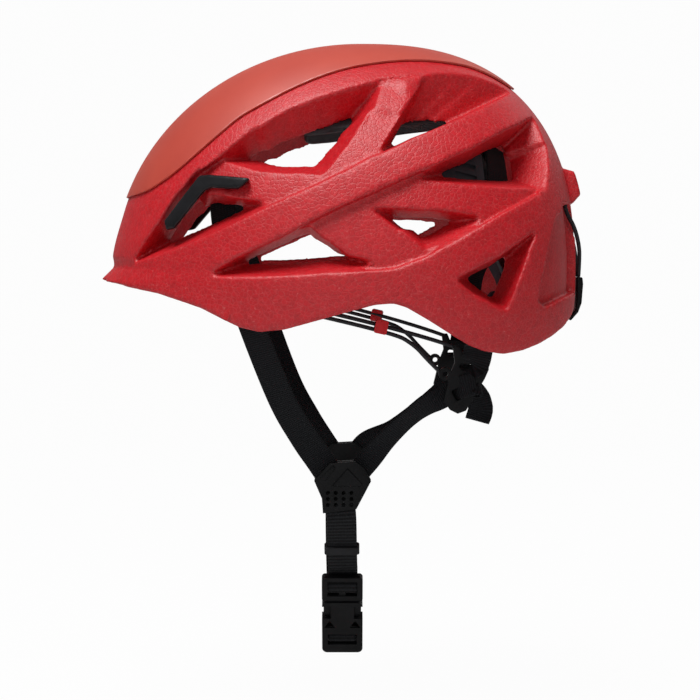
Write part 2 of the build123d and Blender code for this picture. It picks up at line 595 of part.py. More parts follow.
loop_exit = BUCKLE_TOP + BUCKLE_DOWN * LOOP_AT - BUCKLE_OUT * 7.6
right_top = Vector(-3.0, -DIVIDER_Y, -130)
with BuildPart() as chin_right:
    flat_strap([
        (loop_exit, -BUCKLE_DOWN), (loop_exit + Vector(-0.4, 4, 4.4), Vector(0, 0.65, -0.76)),
        (Vector(-2.4, 26, -168), Vector(0, 0.87, -0.5)),
        (Vector(-2.9, -DIVIDER_Y - 2.4, -139), Vector(0, 1, -0.2)),
        (right_top, Vector(0, 1, 0)),
    ])
write(chin_right.part, "chin_webbing_right")

# ================================================================ rear lamp bungee and hook
HOOK_TOP_Z, HOOK_HALF_WIDTH = -4.0, 6.5
LEG_END_Y = -4.0
BUNGEE_ROUTE = [(KNOT_X, KNOT_Y, KNOT_Z - 0.5), (128.2, KNOT_Y, 33.5), (133.2, -15.5, 25.5),
                (136.6, -12.5, 14), (137.2, -8, 4.5), (137.2, LEG_END_Y, HOOK_TOP_Z + 0.6)]
with BuildPart() as bungee_leg:
    cord(BUNGEE_ROUTE, BUNGEE_DIAMETER, [2.0, 4.0, 4.0, 4.0])
    with Locations((KNOT_X, KNOT_Y, KNOT_Z)):
        Sphere(KNOT_RADIUS)
with BuildPart() as lamp_bungee:
    add(bungee_leg.part)
    add(mirror(bungee_leg.part, about=Plane.XZ))
write(lamp_bungee.part, "lamp_bungee")

HOOK_OUTLINE = [(135.9, HOOK_TOP_Z), (139.4, HOOK_TOP_Z), (139.8, -8), (139, -19), (137, -24.5),
                (132.6, -29.5), (131.2, -27.8), (135.4, -23), (136, -16)]
with BuildPart() as lamp_hook:
    with BuildSketch(Plane.XZ.offset(-HOOK_HALF_WIDTH)):
        with BuildLine():
            Polyline(*HOOK_OUTLINE, close=True)
        make_face()
    extrude(amount=2 * HOOK_HALF_WIDTH)
write(lamp_hook.part, "lamp_hook")

# ================================================================ cradle hangers
HANGER_OUTLINE = [(46, 49), (54, 73), (76.4, 71), (78.2, 52), (76, 32), (64, 30), (56, 40)]
HANGER_SLOTS = [(66, 65), (67, 59), (67.5, 53)]
tilt_eye = Plane((TILT_X, -EYE_OUT, TILT_Z), z_dir=(0, -1, 0))
with BuildPart() as hanger_grooves:
    with BuildSketch(Plane.XZ.offset(100)):
        for x, z in HANGER_SLOTS:
            with Locations(Location((x, z), -14)):
                RectangleRounded(13, 2.4, 1.1)
    extrude(amount=-80)
with BuildPart() as hanger_boss:
    with Locations(tilt_eye.offset(EYE_THICKNESS / 2 + 0.3)):
        Cylinder(BOSS_RADIUS, 20, align=(Align.CENTER, Align.CENTER, Align.MIN))
    add(half_dome(grown(CAVITY, -SEAT_GAP - 0.4)), mode=Mode.INTERSECT)
with BuildPart() as cradle_hanger:
    add(skin_layer(CAVITY, -SEAT_GAP, -SEAT_GAP - HANGER_THICKNESS, HANGER_OUTLINE))
    add(hanger_grooves.part - half_dome(grown(CAVITY, -SEAT_GAP - GROOVE_DEPTH)), mode=Mode.SUBTRACT)
    add(hanger_boss.part)
    with Locations(tilt_eye):
        Cylinder(PIN_RADIUS + 0.02, 5.5, align=(Align.CENTER, Align.CENTER, Align.MIN), mode=Mode.SUBTRACT)
write_pair(cradle_hanger.part, "cradle_hanger")

with BuildPart() as hanger_pin:
    with Locations(Location((TILT_X, -EYE_OUT - 5.2, TILT_Z), (90, 0, 0))):
        Cylinder(PIN_RADIUS, 5.2 + EYE_THICKNESS / 2 + 0.3, align=(Align.CENTER, Align.CENTER, Align.MAX))
    with Locations(Location((TILT_X, -EYE_OUT + EYE_THICKNESS / 2 + 0.2, TILT_Z), (90, 0, 0))):
        Cylinder(4.0, 1.4, align=(Align.CENTER, Align.CENTER, Align.MAX))
write_pair(hanger_pin.part, "hanger_pin")

# ================================================================ cradle housing, racks and dial
pitch_radius = PINION_TEETH * MODULE / 2
tip_radius = pitch_radius + PINION_ADDENDUM
root_radius = pitch_radius - RACK_ADDENDUM - TOOTH_CLEARANCE
base_radius = pitch_radius * cos(PRESSURE_ANGLE)
tooth_pitch = pi * MODULE
rack_x = CRADLE_X + HOUSING_WALL + 0.3   # head side of the racks
rack_root = pitch_radius + PINION_ADDENDUM + TOOTH_CLEARANCE
rack_outer = rack_root + RACK_BODY
inner_half_height = rack_outer + SLIDE_GAP
housing_half_height = inner_half_height + HOUSING_WALL
cover_x = rack_x + RACK_THICKNESS + 0.3
back_plane = Plane((CRADLE_X, 0, CRADLE_Z), x_dir=(0, 1, 0), z_dir=(1, 0, 0))
SCREW_Y, SCREW_RADIUS, POST_RADIUS = 28.0, 1.1, 3.0
SHAFT_RADIUS, STUB_RADIUS = 3.0, 1.6


def at_x(x):
    """Plane across the head at x, with its own X along +Y."""
    return back_plane.offset(x - CRADLE_X)


def involute(angle):
    return tan(angle) - angle


with BuildPart() as rear_cradle:
    with BuildSketch(at_x(CRADLE_X)):
        RectangleRounded(2 * HOUSING_HALF_WIDTH, 2 * housing_half_height, 3.0)
    extrude(amount=cover_x - CRADLE_X)
    with BuildSketch(at_x(CRADLE_X + HOUSING_WALL)):
        Rectangle(2 * HOUSING_HALF_WIDTH + 2, 2 * inner_half_height)
    extrude(amount=20, mode=Mode.SUBTRACT)
    with BuildSketch(at_x(CRADLE_X + HOUSING_WALL)):
        with Locations((-SCREW_Y, 0), (SCREW_Y, 0)):
            Circle(POST_RADIUS)
    extrude(amount=cover_x - CRADLE_X - HOUSING_WALL - 0.05)
    with BuildSketch(at_x(CRADLE_X + 1)):
        with Locations((-SCREW_Y, 0), (SCREW_Y, 0)):
            Circle(SCREW_RADIUS + 0.05)
        Circle(STUB_RADIUS + RUN_GAP)
    extrude(amount=20, mode=Mode.SUBTRACT)
    arm = [(Vector(95.4, -25, CRADLE_Z + housing_half_height + 0.9), Vector(1, -0.2, 0)),
           (Vector(93.6, -33, -3), Vector(0.9, -0.6, 0.1)), (Vector(86, -48, 14), Vector(0.6, -0.9, 0.2)),
           (Vector(77, -57.6, 29), Vector(0.2, -1, 0.1)),
           (Vector(TILT_X + 2.6, -EYE_OUT, TILT_Z - 4.4), OUTWARD)]
    flat_strap(arm, width=8.0, thickness=2.2)
    with Locations(Location((TILT_X, -EYE_OUT, TILT_Z), (90, 0, 0))):
        Cylinder(EYE_RADIUS, EYE_THICKNESS)
    flat_strap([(Vector(p.X, -p.Y, p.Z), Vector(n.X, -n.Y, n.Z)) for p, n in arm], width=8.0, thickness=2.2)
    with Locations(Location((TILT_X, EYE_OUT, TILT_Z), (90, 0, 0))):
        Cylinder(EYE_RADIUS, EYE_THICKNESS)
    with Locations(Location((TILT_X, 0, TILT_Z), (90, 0, 0))):
        Cylinder(PIN_RADIUS + RUN_GAP, 300, mode=Mode.SUBTRACT)
write(rear_cradle.part, "rear_cradle")

with BuildPart() as cradle_cover:
    with BuildSketch(at_x(cover_x + 0.05)):
        RectangleRounded(2 * HOUSING_HALF_WIDTH, 2 * housing_half_height, 3.0)
        Circle(SHAFT_RADIUS + RUN_GAP, mode=Mode.SUBTRACT)
        with Locations((-SCREW_Y, 0), (SCREW_Y, 0)):
            Circle(SCREW_RADIUS + 0.05, mode=Mode.SUBTRACT)
    extrude(amount=COVER_THICKNESS)
write(cradle_cover.part, "cradle_cover")

screw_face = cover_x + 0.05 + COVER_THICKNESS
with BuildPart() as cradle_screws:
    with BuildSketch(at_x(screw_face + 0.05)):
        with Locations((-SCREW_Y, 0), (SCREW_Y, 0)):
            Circle(2.2)
    extrude(amount=1.2)
    with BuildSketch(at_x(screw_face + 0.05)):
        with Locations((-SCREW_Y, 0), (SCREW_Y, 0)):
            Circle(SCREW_RADIUS)
    extrude(amount=-(screw_face - CRADLE_X - 1.4))
write(cradle_screws.part, "cradle_screws")

half_tooth = (tooth_pitch / 4 - BACKLASH) / pitch_radius
flank = []
for radius in (root_radius, base_radius, (base_radius + tip_radius) / 2, tip_radius):
    opened = acos(min(1.0, base_radius / radius))
    flank.append((radius, half_tooth + involute(PRESSURE_ANGLE) - involute(opened)))
gear_outline = []
for tooth in range(PINION_TEETH):
    middle = pi / 2 + 2 * pi * tooth / PINION_TEETH
    turned = [(r, middle + a) for r, a in reversed(flank)]
    before = [(r, middle - a) for r, a in flank]
    gear_outline += [(r * cos(a), r * sin(a)) for r, a in before + turned]
with BuildPart() as dial_pinion:
    with BuildSketch(at_x(rack_x)):
        with BuildLine():
            Polyline(*gear_outline, close=True)
        make_face()
    extrude(amount=RACK_THICKNESS)
    with BuildSketch(at_x(rack_x)):
        Circle(STUB_RADIUS)
    extrude(amount=-(HOUSING_WALL + 0.3 - 1.2))
    with BuildSketch(at_x(rack_x + RACK_THICKNESS)):
        Circle(SHAFT_RADIUS)
    extrude(amount=COVER_THICKNESS + 4.0)
write(dial_pinion.part, "dial_pinion")

dial_x = screw_face + 0.4
with BuildPart() as fit_dial:
    with BuildSketch(at_x(dial_x)):
        Circle(DIAL_RADIUS)
        with PolarLocations(DIAL_RADIUS + 1.0, DIAL_FLUTES):
            Circle(1.9, mode=Mode.SUBTRACT)
    extrude(amount=DIAL_THICKNESS)
    chamfer(fit_dial.faces().sort_by(Axis.X)[-1].edges(), 0.6)
    with BuildSketch(at_x(dial_x)):
        Circle(SHAFT_RADIUS + 0.02)
    extrude(amount=4.0, mode=Mode.SUBTRACT)
write(fit_dial.part, "fit_dial")

WING_END = [(96.2, -52.3), (91.5, -56.5), (84, -60.5)]
for hand, side in (("left", -1), ("right", 1)):
    teeth_from, teeth_to = -21.0, 8.0     # along the arm's own slide, inwards positive
    low = -1 if side > 0 else 1           # the right arm's rack lies below the pinion
    with BuildPart() as rack_arm:
        with BuildSketch(at_x(rack_x)):
            with BuildLine():
                tips = pitch_radius - RACK_ADDENDUM
                outline = [(-51.5, rack_outer), (-51.5, rack_root)]
                count = int((teeth_to - teeth_from) / tooth_pitch)
                for k in range(-count + 2, 3):
                    centre = (k - 0.5) * tooth_pitch
                    wide = tooth_pitch / 4 - BACKLASH
                    slope = tan(PRESSURE_ANGLE)
                    base = wide + (rack_root - pitch_radius) * slope
                    peak = wide - RACK_ADDENDUM * slope
                    outline += [(centre - base, rack_root), (centre - peak, tips), (centre + peak, tips),
                                (centre + base, rack_root)]
                outline += [(teeth_to + 1.5, rack_root), (teeth_to + 1.5, rack_outer)]
                Polyline(*[(-side * y, low * z) for y, z in outline], close=True)
            make_face()
        extrude(amount=RACK_THICKNESS)
        level = CRADLE_Z + low * (rack_root + rack_outer) / 2
        start = Vector(rack_x + RACK_THICKNESS / 2, side * 50.9, level)
        rest = [Vector(x, -side * y, level) for x, y in WING_END]
        flat_strap([(start, Vector(1, 0, 0)), (rest[0], Vector(1, side * 0.5, 0)),
                    (rest[1], Vector(1, side * 1, 0)), (rest[2], Vector(1, side * 1.2, 0))],
                   width=RACK_BODY, thickness=2.4)
        with Locations(Plane(rest[2], z_dir=(0.62, side * 0.78, 0))):
            Cylinder(5.0, 2.4)
    write(rack_arm.part, f"rack_arm_{hand}")

with BuildPart() as nape_pad:
    with BuildSketch(at_x(CRADLE_X - SOFT_GAP)):
        RectangleRounded(60, 20, 6)
    extrude(amount=-4.5)
write(nape_pad.part, "nape_pad")
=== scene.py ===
import bpy
import bmesh
import numpy as np
from math import acos, cos, pi, radians, sin, sqrt
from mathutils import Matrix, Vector


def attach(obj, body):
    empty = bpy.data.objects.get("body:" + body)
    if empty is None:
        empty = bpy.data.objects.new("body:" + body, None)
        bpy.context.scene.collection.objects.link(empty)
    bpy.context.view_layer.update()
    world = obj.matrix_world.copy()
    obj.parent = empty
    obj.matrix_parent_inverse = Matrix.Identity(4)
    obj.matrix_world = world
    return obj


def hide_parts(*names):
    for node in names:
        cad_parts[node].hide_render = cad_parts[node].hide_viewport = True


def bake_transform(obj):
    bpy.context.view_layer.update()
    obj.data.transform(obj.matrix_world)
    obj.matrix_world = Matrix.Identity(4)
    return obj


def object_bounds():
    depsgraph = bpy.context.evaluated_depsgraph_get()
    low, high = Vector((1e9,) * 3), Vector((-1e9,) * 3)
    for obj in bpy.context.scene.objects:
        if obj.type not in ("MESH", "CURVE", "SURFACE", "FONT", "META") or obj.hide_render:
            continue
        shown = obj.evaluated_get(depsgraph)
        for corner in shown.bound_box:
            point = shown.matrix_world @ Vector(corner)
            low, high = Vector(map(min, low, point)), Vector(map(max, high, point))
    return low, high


# Climbing helmet. Metres, the same frame as the solids: Z up, the wearer faces -X, their left is -Y.
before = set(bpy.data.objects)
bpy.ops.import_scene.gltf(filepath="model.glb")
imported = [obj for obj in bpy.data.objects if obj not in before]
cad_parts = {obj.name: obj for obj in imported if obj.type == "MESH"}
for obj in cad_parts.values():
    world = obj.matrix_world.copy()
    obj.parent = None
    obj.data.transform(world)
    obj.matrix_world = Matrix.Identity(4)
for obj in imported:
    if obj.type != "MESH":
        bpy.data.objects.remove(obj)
cad_low, cad_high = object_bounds()


# ---------------------------------------------------------------- studio
# A pale floor that curves up into a wall behind the helmet, lit by one broad soft lamp overhead and weaker
# ones in front and behind. The world shows white past the floor's edges but lights the helmet dimly.
def srgb(*screen):
    """A colour given as 0 to 255 screen values, as the shader wants it."""
    shares = [value / 255 for value in screen]
    return tuple(s / 12.92 if s <= 0.04045 else ((s + 0.055) / 1.055) ** 2.4 for s in shares) + (1.0,)


def join(tree, *links):
    """Links sockets given as (node, output, node, input)."""
    for source, out, target, into in links:
        tree.links.new(source.outputs[out], target.inputs[into])


scene = bpy.context.scene
scene.view_settings.view_transform = "Standard"

camera_data = bpy.data.cameras.new("camera")
camera = bpy.data.objects.new("camera", camera_data)
scene.collection.objects.link(camera)
camera_data.sensor_width = 36
camera_data.angle = radians(21.09)
camera_data.clip_end = 20
camera.location = (0.0018, -1.1, 0.0205)
camera.rotation_euler = (radians(86.5), 0, radians(-0.12))
scene.camera = camera

world = bpy.data.worlds.new("room")
scene.world = world
world.use_nodes = True
tree = world.node_tree
tree.nodes.clear()
seen = tree.nodes.new("ShaderNodeLightPath")
most = tree.nodes.new("ShaderNodeMath")
most.operation = "MAXIMUM"
also = tree.nodes.new("ShaderNodeMath")
also.operation = "MAXIMUM"
pale = tree.nodes.new("ShaderNodeBackground")
pale.inputs["Color"].default_value = (1, 1, 1, 1)
dim = tree.nodes.new("ShaderNodeBackground")
dim.inputs["Color"].default_value = (1, 1, 1, 1)
dim.inputs["Strength"].default_value = 0.21
blend = tree.nodes.new("ShaderNodeMixShader")
out = tree.nodes.new("ShaderNodeOutputWorld")
join(tree, (seen, "Is Camera Ray", most, 0), (seen, "Is Transmission Ray", most, 1), (most, 0, blend, 0),
     (dim, 0, blend, 1), (pale, 0, blend, 2), (blend, 0, out, 0))

# The floor lies well below the buckle, whose housing drops when it is pulled off.
FLOOR_Z = cad_low[2] - 0.045
HALF_SPAN, FRONT_Y, BACK_Y, COVE, WALL_TOP = 6.0, -2.2, 1.6, 0.8, 3.5
profile = [(FRONT_Y, FLOOR_Z), (BACK_Y, FLOOR_Z)]
profile += [(BACK_Y + COVE * sin(t), FLOOR_Z + COVE * (1 - cos(t))) for t in np.linspace(0.1, pi / 2, 12)]
profile.append((BACK_Y + COVE, WALL_TOP))
sweep = bmesh.new()
line = [sweep.verts.new((-HALF_SPAN, y, z)) for y, z in profile]
edges = [sweep.edges.new(pair) for pair in zip(line, line[1:])]
drawn = bmesh.ops.extrude_edge_only(sweep, edges=edges)
far_side = [g for g in drawn["geom"] if isinstance(g, bmesh.types.BMVert)]
bmesh.ops.translate(sweep, vec=(2 * HALF_SPAN, 0, 0), verts=far_side)
bmesh.ops.recalc_face_normals(sweep, faces=sweep.faces)
floor_mesh = bpy.data.meshes.new("floor")
sweep.to_mesh(floor_mesh)
floor_mesh.shade_smooth()
floor = bpy.data.objects.new("floor", floor_mesh)
scene.collection.objects.link(floor)
paper = bpy.data.materials.new("paper")
paper.use_nodes = True
tree = paper.node_tree
tree.nodes.clear()
seen = tree.nodes.new("ShaderNodeLightPath")
glow = tree.nodes.new("ShaderNodeEmission")
glow.inputs["Color"].default_value = (1, 1, 1, 1)
matt = tree.nodes.new("ShaderNodeBsdfDiffuse")
matt.inputs["Color"].default_value = (0.70, 0.70, 0.70, 1)
share = tree.nodes.new("ShaderNodeMath")
share.operation = "MULTIPLY"
share.inputs[1].default_value = 0.97
blend = tree.nodes.new("ShaderNodeMixShader")
out = tree.nodes.new("ShaderNodeOutputMaterial")
join(tree, (seen, "Is Camera Ray", share, 0), (share, 0, blend, 0), (matt, 0, blend, 1),
     (glow, 0, blend, 2), (blend, 0, out, 0))
floor_mesh.materials.append(paper)

for name, stand, aim, size, power in (
    ("overhead", (-0.35, -0.6, 1.5), (0, 0, 0.03), 1.0, 25.0),
    ("front", (-0.25, -1.8, 0.35), (0, 0, 0), 1.2, 2.6),
    ("back", (0.9, 1.0, 1.0), (0, 0, 0.02), 1.2, 2.0),
):
    lamp_data = bpy.data.lights.new(name, "AREA")
    lamp_data.shape = "DISK"
    lamp_data.size = size
    lamp_data.energy = power
    lamp = bpy.data.objects.new(name, lamp_data)
    lamp.location = stand
    lamp.rotation_euler = (Vector(aim) - Vector(stand)).to_track_quat("-Z", "Y").to_euler()
    scene.collection.objects.link(lamp)


# ---------------------------------------------------------------- foam body
# Expanded-bead foam, moulded in one piece in body colour: a lattice of struts round seven vents a side.
# It carries every other piece. The solid's flat panels are drawn out onto the mould's true dome, and its
# edges are rounded as moulded foam is.
CROWN_X = 0.010
# A skin is its reach to the front and to the rear of CROWN_X, its height and its half breadth.
OUTER = (0.142, 0.1244, 0.1294, 0.106)
CAVITY = (0.122, 0.103, 0.108, 0.086)
REAR_FULLNESS = 2.5                      # exponent of the rear quarter's superellipse
RECESS = 0.005                           # the inner struts lie this far below the outer skin
FINE_VOXEL, QUICK_VOXEL = 0.0012, 0.0030
FOAM_TRIANGLES = 195000


def grown(skin, by):
    """The skin moved outwards by a distance."""
    return tuple(size + by for size in skin)


def reach(co, skin, upright=False):
    """1 on the skin, less inside and more outside; upright walls stand below the headband."""
    x = co[:, 0] - CROWN_X
    front = x < 0
    size = np.where(front, skin[0], skin[1])
    power = np.where(front, 2.0, REAR_FULLNESS)
    z = np.maximum(co[:, 2], 0) if upright else co[:, 2]
    ring = np.sqrt((z / skin[2]) ** 2 + (co[:, 1] / skin[3]) ** 2)
    return ((np.abs(x) / size) ** power + ring ** power) ** (1 / power)


def onto(co, skin, upright=False):
    """The points moved straight out from the crown line's foot onto a skin."""
    scale = 1 / np.maximum(reach(co, skin, upright), 1e-6)
    moved = co.copy()
    moved[:, 0] = CROWN_X + (co[:, 0] - CROWN_X) * scale
    moved[:, 1] = co[:, 1] * scale
    moved[:, 2] = co[:, 2] * (np.where(co[:, 2] < 0, 1.0, scale) if upright else scale)
    return moved


def facing(co, skin, upright=False):
    """Outward unit normals of a skin at points near it."""
    step = 2e-4
    slope = np.stack([
        reach(co + np.eye(3)[axis] * step, skin, upright) - reach(co - np.eye(3)[axis] * step, skin, upright)
        for axis in range(3)], axis=1)
    return slope / np.maximum(np.linalg.norm(slope, axis=1, keepdims=True), 1e-9)


def points(mesh):
    """The mesh's points as an array."""
    co = np.empty(len(mesh.vertices) * 3, np.float32)
    mesh.vertices.foreach_get("co", co)
    return co.reshape(-1, 3).astype(float)


def normals(mesh):
    """The mesh's normals at its points as an array."""
    no = np.empty(len(mesh.vertices) * 3, np.float32)
    mesh.vertex_normals.foreach_get("vector", no)
    return no.reshape(-1, 3).astype(float)


def place(mesh, co):
    """Moves the mesh's points to an array of places."""
    mesh.vertices.foreach_set("co", co.astype(np.float32).ravel())
    mesh.update()


def smoothstep(value, low, high):
    """0 below low, 1 above high, and an even rise between."""
    t = np.clip((value - low) / (high - low), 0, 1)
    return t * t * (3 - 2 * t)


def merged_copy(node, name):
    """A new object with the solid's own mesh, its corners joined."""
    shape = bmesh.new()
    shape.from_mesh(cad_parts[node].data)
    bmesh.ops.remove_doubles(shape, verts=shape.verts, dist=2e-6)
    mesh = bpy.data.meshes.new(name)
    shape.to_mesh(mesh)
    shape.free()
    obj = bpy.data.objects.new(name, mesh)
    scene.collection.objects.link(obj)
    return obj


def evened(obj, size):
    """The object's mesh as an even skin of small faces."""
    voxels = obj.modifiers.new("even", "REMESH")
    voxels.mode = "VOXEL"
    voxels.voxel_size = size
    mesh = bpy.data.meshes.new_from_object(obj.evaluated_get(bpy.context.evaluated_depsgraph_get()))
    obj.modifiers.clear()
    obj.data = mesh
    mesh.name = obj.name
    return mesh


def relaxed(mesh, times):
    """Rounds every edge a little, by evening each point among its neighbours."""
    shape = bmesh.new()
    shape.from_mesh(mesh)
    for _ in range(times):
        bmesh.ops.smooth_vert(shape, verts=shape.verts, factor=0.5,
                              use_axis_x=True, use_axis_y=True, use_axis_z=True)
    shape.to_mesh(mesh)
    shape.free()
    mesh.update()


def drawn_onto(mesh, skin, near, sign, upright=False, where=None, flatness=0.80):
    """Points whose face lies along a skin, within a distance of it, move onto it."""
    co, no = points(mesh), normals(mesh)
    target = onto(co, skin, upright)
    away = np.linalg.norm(target - co, axis=1)
    along = sign * (no * facing(co, skin, upright)).sum(axis=1)
    share = smoothstep(along, flatness, 0.96) * (1 - smoothstep(away, near, near * 1.6))
    if where is not None:
        share = share * where(co)
    place(mesh, co + (target - co) * share[:, None])


def above_lip(co):
    """1 away from the brim lip, which stands out from the dome, and 0 on it."""
    return np.maximum(smoothstep(co[:, 2], 0.002, 0.005), smoothstep(co[:, 0], -0.07, -0.055))


foam = merged_copy("foam_body", "foam")
flat = merged_copy("foam_body", "foam_flats")
evened(foam, FINE_VOXEL)
wrap = foam.modifiers.new("wrap", "SHRINKWRAP")
wrap.target = flat
fewer = foam.modifiers.new("fewer", "DECIMATE")
fewer.ratio = min(1.0, FOAM_TRIANGLES / (2 * len(foam.data.polygons)))
wrapped = bpy.data.meshes.new_from_object(foam.evaluated_get(bpy.context.evaluated_depsgraph_get()))
foam.modifiers.clear()
foam.data = wrapped
bpy.data.objects.remove(flat)
for _ in range(2):
    relaxed(foam.data, 1)
    drawn_onto(foam.data, OUTER, 0.0016, 1, where=above_lip)
    drawn_onto(foam.data, CAVITY, 0.0016, -1, upright=True)
    drawn_onto(foam.data, grown(OUTER, -RECESS), 0.0012, 1)
# The brim flares forward under the cap.
FLARE = 0.0024
flared = points(foam.data)
brow = (1 - smoothstep(flared[:, 0], -0.112, -0.075)) * smoothstep(reach(flared, OUTER), 0.86, 0.97)
flared[:, 0] -= FLARE * brow * (1 - smoothstep(flared[:, 2], 0.002, 0.034))
# The face of the brow stands a hair back from the side band, along a crease that runs down to the edge.
CREASE_STEP = 0.0011
crease_x = np.interp(flared[:, 2], (-0.012, 0.004, 0.030), (-0.1245, -0.1170, -0.1050))
face = 1 - smoothstep(flared[:, 0] - crease_x, -0.0006, 0.0006)
face = face * smoothstep(reach(flared, OUTER), 0.93, 0.97) * (1 - smoothstep(flared[:, 2], 0.004, 0.009))
flared -= facing(flared, OUTER) * (CREASE_STEP * face)[:, None]
place(foam.data, flared)
foam.data.shade_smooth()

beads = bpy.data.materials.new("bead_foam")
beads.use_nodes = True
tree = beads.node_tree
shader = tree.nodes["Principled BSDF"]
where = tree.nodes.new("ShaderNodeTexCoord")
cells = tree.nodes.new("ShaderNodeTexVoronoi")
cells.inputs["Scale"].default_value = 420
rims = tree.nodes.new("ShaderNodeTexVoronoi")
rims.feature = "DISTANCE_TO_EDGE"
rims.inputs["Scale"].default_value = 420
cloud = tree.nodes.new("ShaderNodeTexNoise")
cloud.inputs["Scale"].default_value = 260
cloud.inputs["Detail"].default_value = 6
cloud.inputs["Roughness"].default_value = 0.7
tone = tree.nodes.new("ShaderNodeValToRGB")
tone.color_ramp.elements[0].position = 0.34
tone.color_ramp.elements[0].color = srgb(197, 0, 18)
tone.color_ramp.elements[1].position = 0.66
tone.color_ramp.elements[1].color = srgb(212, 4, 27)
# A few beads are painted paler, in pinkish white: painted glints, for the light that catches single beads.
glint_flecks = tree.nodes.new("ShaderNodeTexNoise")
glint_flecks.inputs["Scale"].default_value = 620
glint_flecks.inputs["Detail"].default_value = 4
glint_flecks.inputs["Roughness"].default_value = 0.6
glint_share = tree.nodes.new("ShaderNodeMapRange")
glint_share.inputs["From Min"].default_value = 0.60
glint_share.inputs["From Max"].default_value = 0.74
glint_share.inputs["To Max"].default_value = 0.24
# The pale seams between the beads and the painted glints are mixed into the bead colour here.
paler = tree.nodes.new("ShaderNodeMix")
paler.data_type = "RGBA"
paler.inputs["B"].default_value = srgb(238, 150, 146)
each = tree.nodes.new("ShaderNodeMix")
each.data_type = "RGBA"
each.blend_type = "MULTIPLY"
each.inputs["Factor"].default_value = 0.12
welds = tree.nodes.new("ShaderNodeMapRange")
welds.inputs["From Max"].default_value = 0.09
welds.inputs["To Min"].default_value = 0.17
welds.inputs["To Max"].default_value = 0.0
patchy = tree.nodes.new("ShaderNodeMath")
patchy.operation = "MULTIPLY"
both = tree.nodes.new("ShaderNodeMath")
both.operation = "ADD"
hollow = tree.nodes.new("ShaderNodeMapRange")
hollow.inputs["From Max"].default_value = 0.16
bump = tree.nodes.new("ShaderNodeBump")
bump.inputs["Strength"].default_value = 0.30
bump.inputs["Distance"].default_value = 0.0003
shader.inputs["Roughness"].default_value = 0.46
shader.inputs["Specular IOR Level"].default_value = 0.62
join(tree, (where, "Object", cells, "Vector"), (where, "Object", rims, "Vector"),
     (where, "Object", cloud, "Vector"), (where, "Object", glint_flecks, "Vector"), (cloud, "Fac", tone, "Fac"),
     (tone, "Color", each, "A"), (cells, "Color", each, "B"), (glint_flecks, "Fac", glint_share, "Value"),
     (rims, "Distance", welds, "Value"), (welds, "Result", patchy, 0), (cloud, "Fac", patchy, 1),
     (patchy, 0, both, 0), (glint_share, "Result", both, 1), (both, 0, paler, "Factor"),
     (each, "Result", paler, "A"), (paler, "Result", shader, "Base Color"),
     (rims, "Distance", hollow, "Value"), (hollow, "Result", bump, "Height"),
     (bump, "Normal", shader, "Normal"))
foam.data.materials.append(beads)
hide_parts("foam_body")
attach(foam, "root")


# ---------------------------------------------------------------- crown cap
# A thin moulded skin clipped over the crown, in a paler shade of the body colour with a satin face.
# It follows the foam's dome, and its seam runs from brow to crown down each side.
SEAM = [(-0.125, 0.042), (-0.111, 0.045), (-0.102, 0.0495), (-0.090, 0.0575), (-0.068, 0.076), (-0.057, 0.085),
        (-0.046, 0.0915), (-0.024, 0.103), (-0.002, 0.1117), (0.021, 0.1167), (0.044, 0.1185), (0.067, 0.1168),
        (0.079, 0.1136), (0.088, 0.1098), (0.094, 0.1066), (0.0975, 0.1042)]
CAP_END_X = 0.0983
CAP_WALL = 0.0011
CAP_OUT = grown(OUTER, 0.0014)


def crest(x, skin):
    """Height of a skin's crown line."""
    u = abs(x - CROWN_X) / (skin[0] if x < CROWN_X else skin[1])
    power = 2.0 if x < CROWN_X else REAR_FULLNESS
    return skin[2] * max(0.0, 1 - u ** power) ** (1 / power)


def through(knots, ts):
    """Points of a smooth line through knots, at ts from 0 to the last knot's number."""
    knots = np.array(knots, float)
    padded = np.vstack([2 * knots[0] - knots[1], knots, 2 * knots[-1] - knots[-2]])
    found = []
    for t in ts:
        k = min(int(t), len(knots) - 2)
        f = t - k
        a, b, c, d = padded[k:k + 4]
        found.append(0.5 * (2 * b + (c - a) * f + (2 * a - 5 * b + 4 * c - d) * f * f
                            + (3 * b - a - 3 * c + d) * f ** 3))
    return np.array(found)


seam_line = through(SEAM, np.linspace(0, len(SEAM) - 1, 240))
tip_x = CROWN_X - CAP_OUT[0] * sqrt(1 - (SEAM[0][1] / CAP_OUT[2]) ** 2)
cap_shape = bmesh.new()
ALONG, ACROSS = 150, 96
bmesh.ops.create_grid(cap_shape, x_segments=ALONG, y_segments=ACROSS, size=0.5)
for vert in cap_shape.verts:
    u, v = vert.co.x + 0.5, 2 * vert.co.y
    x = tip_x + (CAP_END_X - tip_x) * (1 - cos(pi / 2 * u ** 1.15)) if u < 1 else CAP_END_X
    seam_z = float(np.interp(x, seam_line[:, 0], seam_line[:, 1]))
    top = crest(x, CAP_OUT)
    turn = acos(min(1.0, seam_z / top)) * v
    vert.co = (x, CAP_OUT[3] / CAP_OUT[2] * top * sin(turn), top * cos(turn))
bmesh.ops.remove_doubles(cap_shape, verts=cap_shape.verts, dist=1e-6)
bmesh.ops.recalc_face_normals(cap_shape, faces=cap_shape.faces)
cap_mesh = bpy.data.meshes.new("cap")
cap_shape.to_mesh(cap_mesh)
cap_shape.free()
cap = bpy.data.objects.new("cap", cap_mesh)
scene.collection.objects.link(cap)
if normals(cap_mesh)[:, 2].mean() < 0:
    cap_mesh.flip_normals()
thick = cap.modifiers.new("wall", "SOLIDIFY")
thick.thickness = CAP_WALL
thick.offset = -1
soft = cap.modifiers.new("edge", "BEVEL")
soft.width = 0.0004
soft.segments = 2
soft.angle_limit = radians(50)
cap_mesh.shade_smooth()

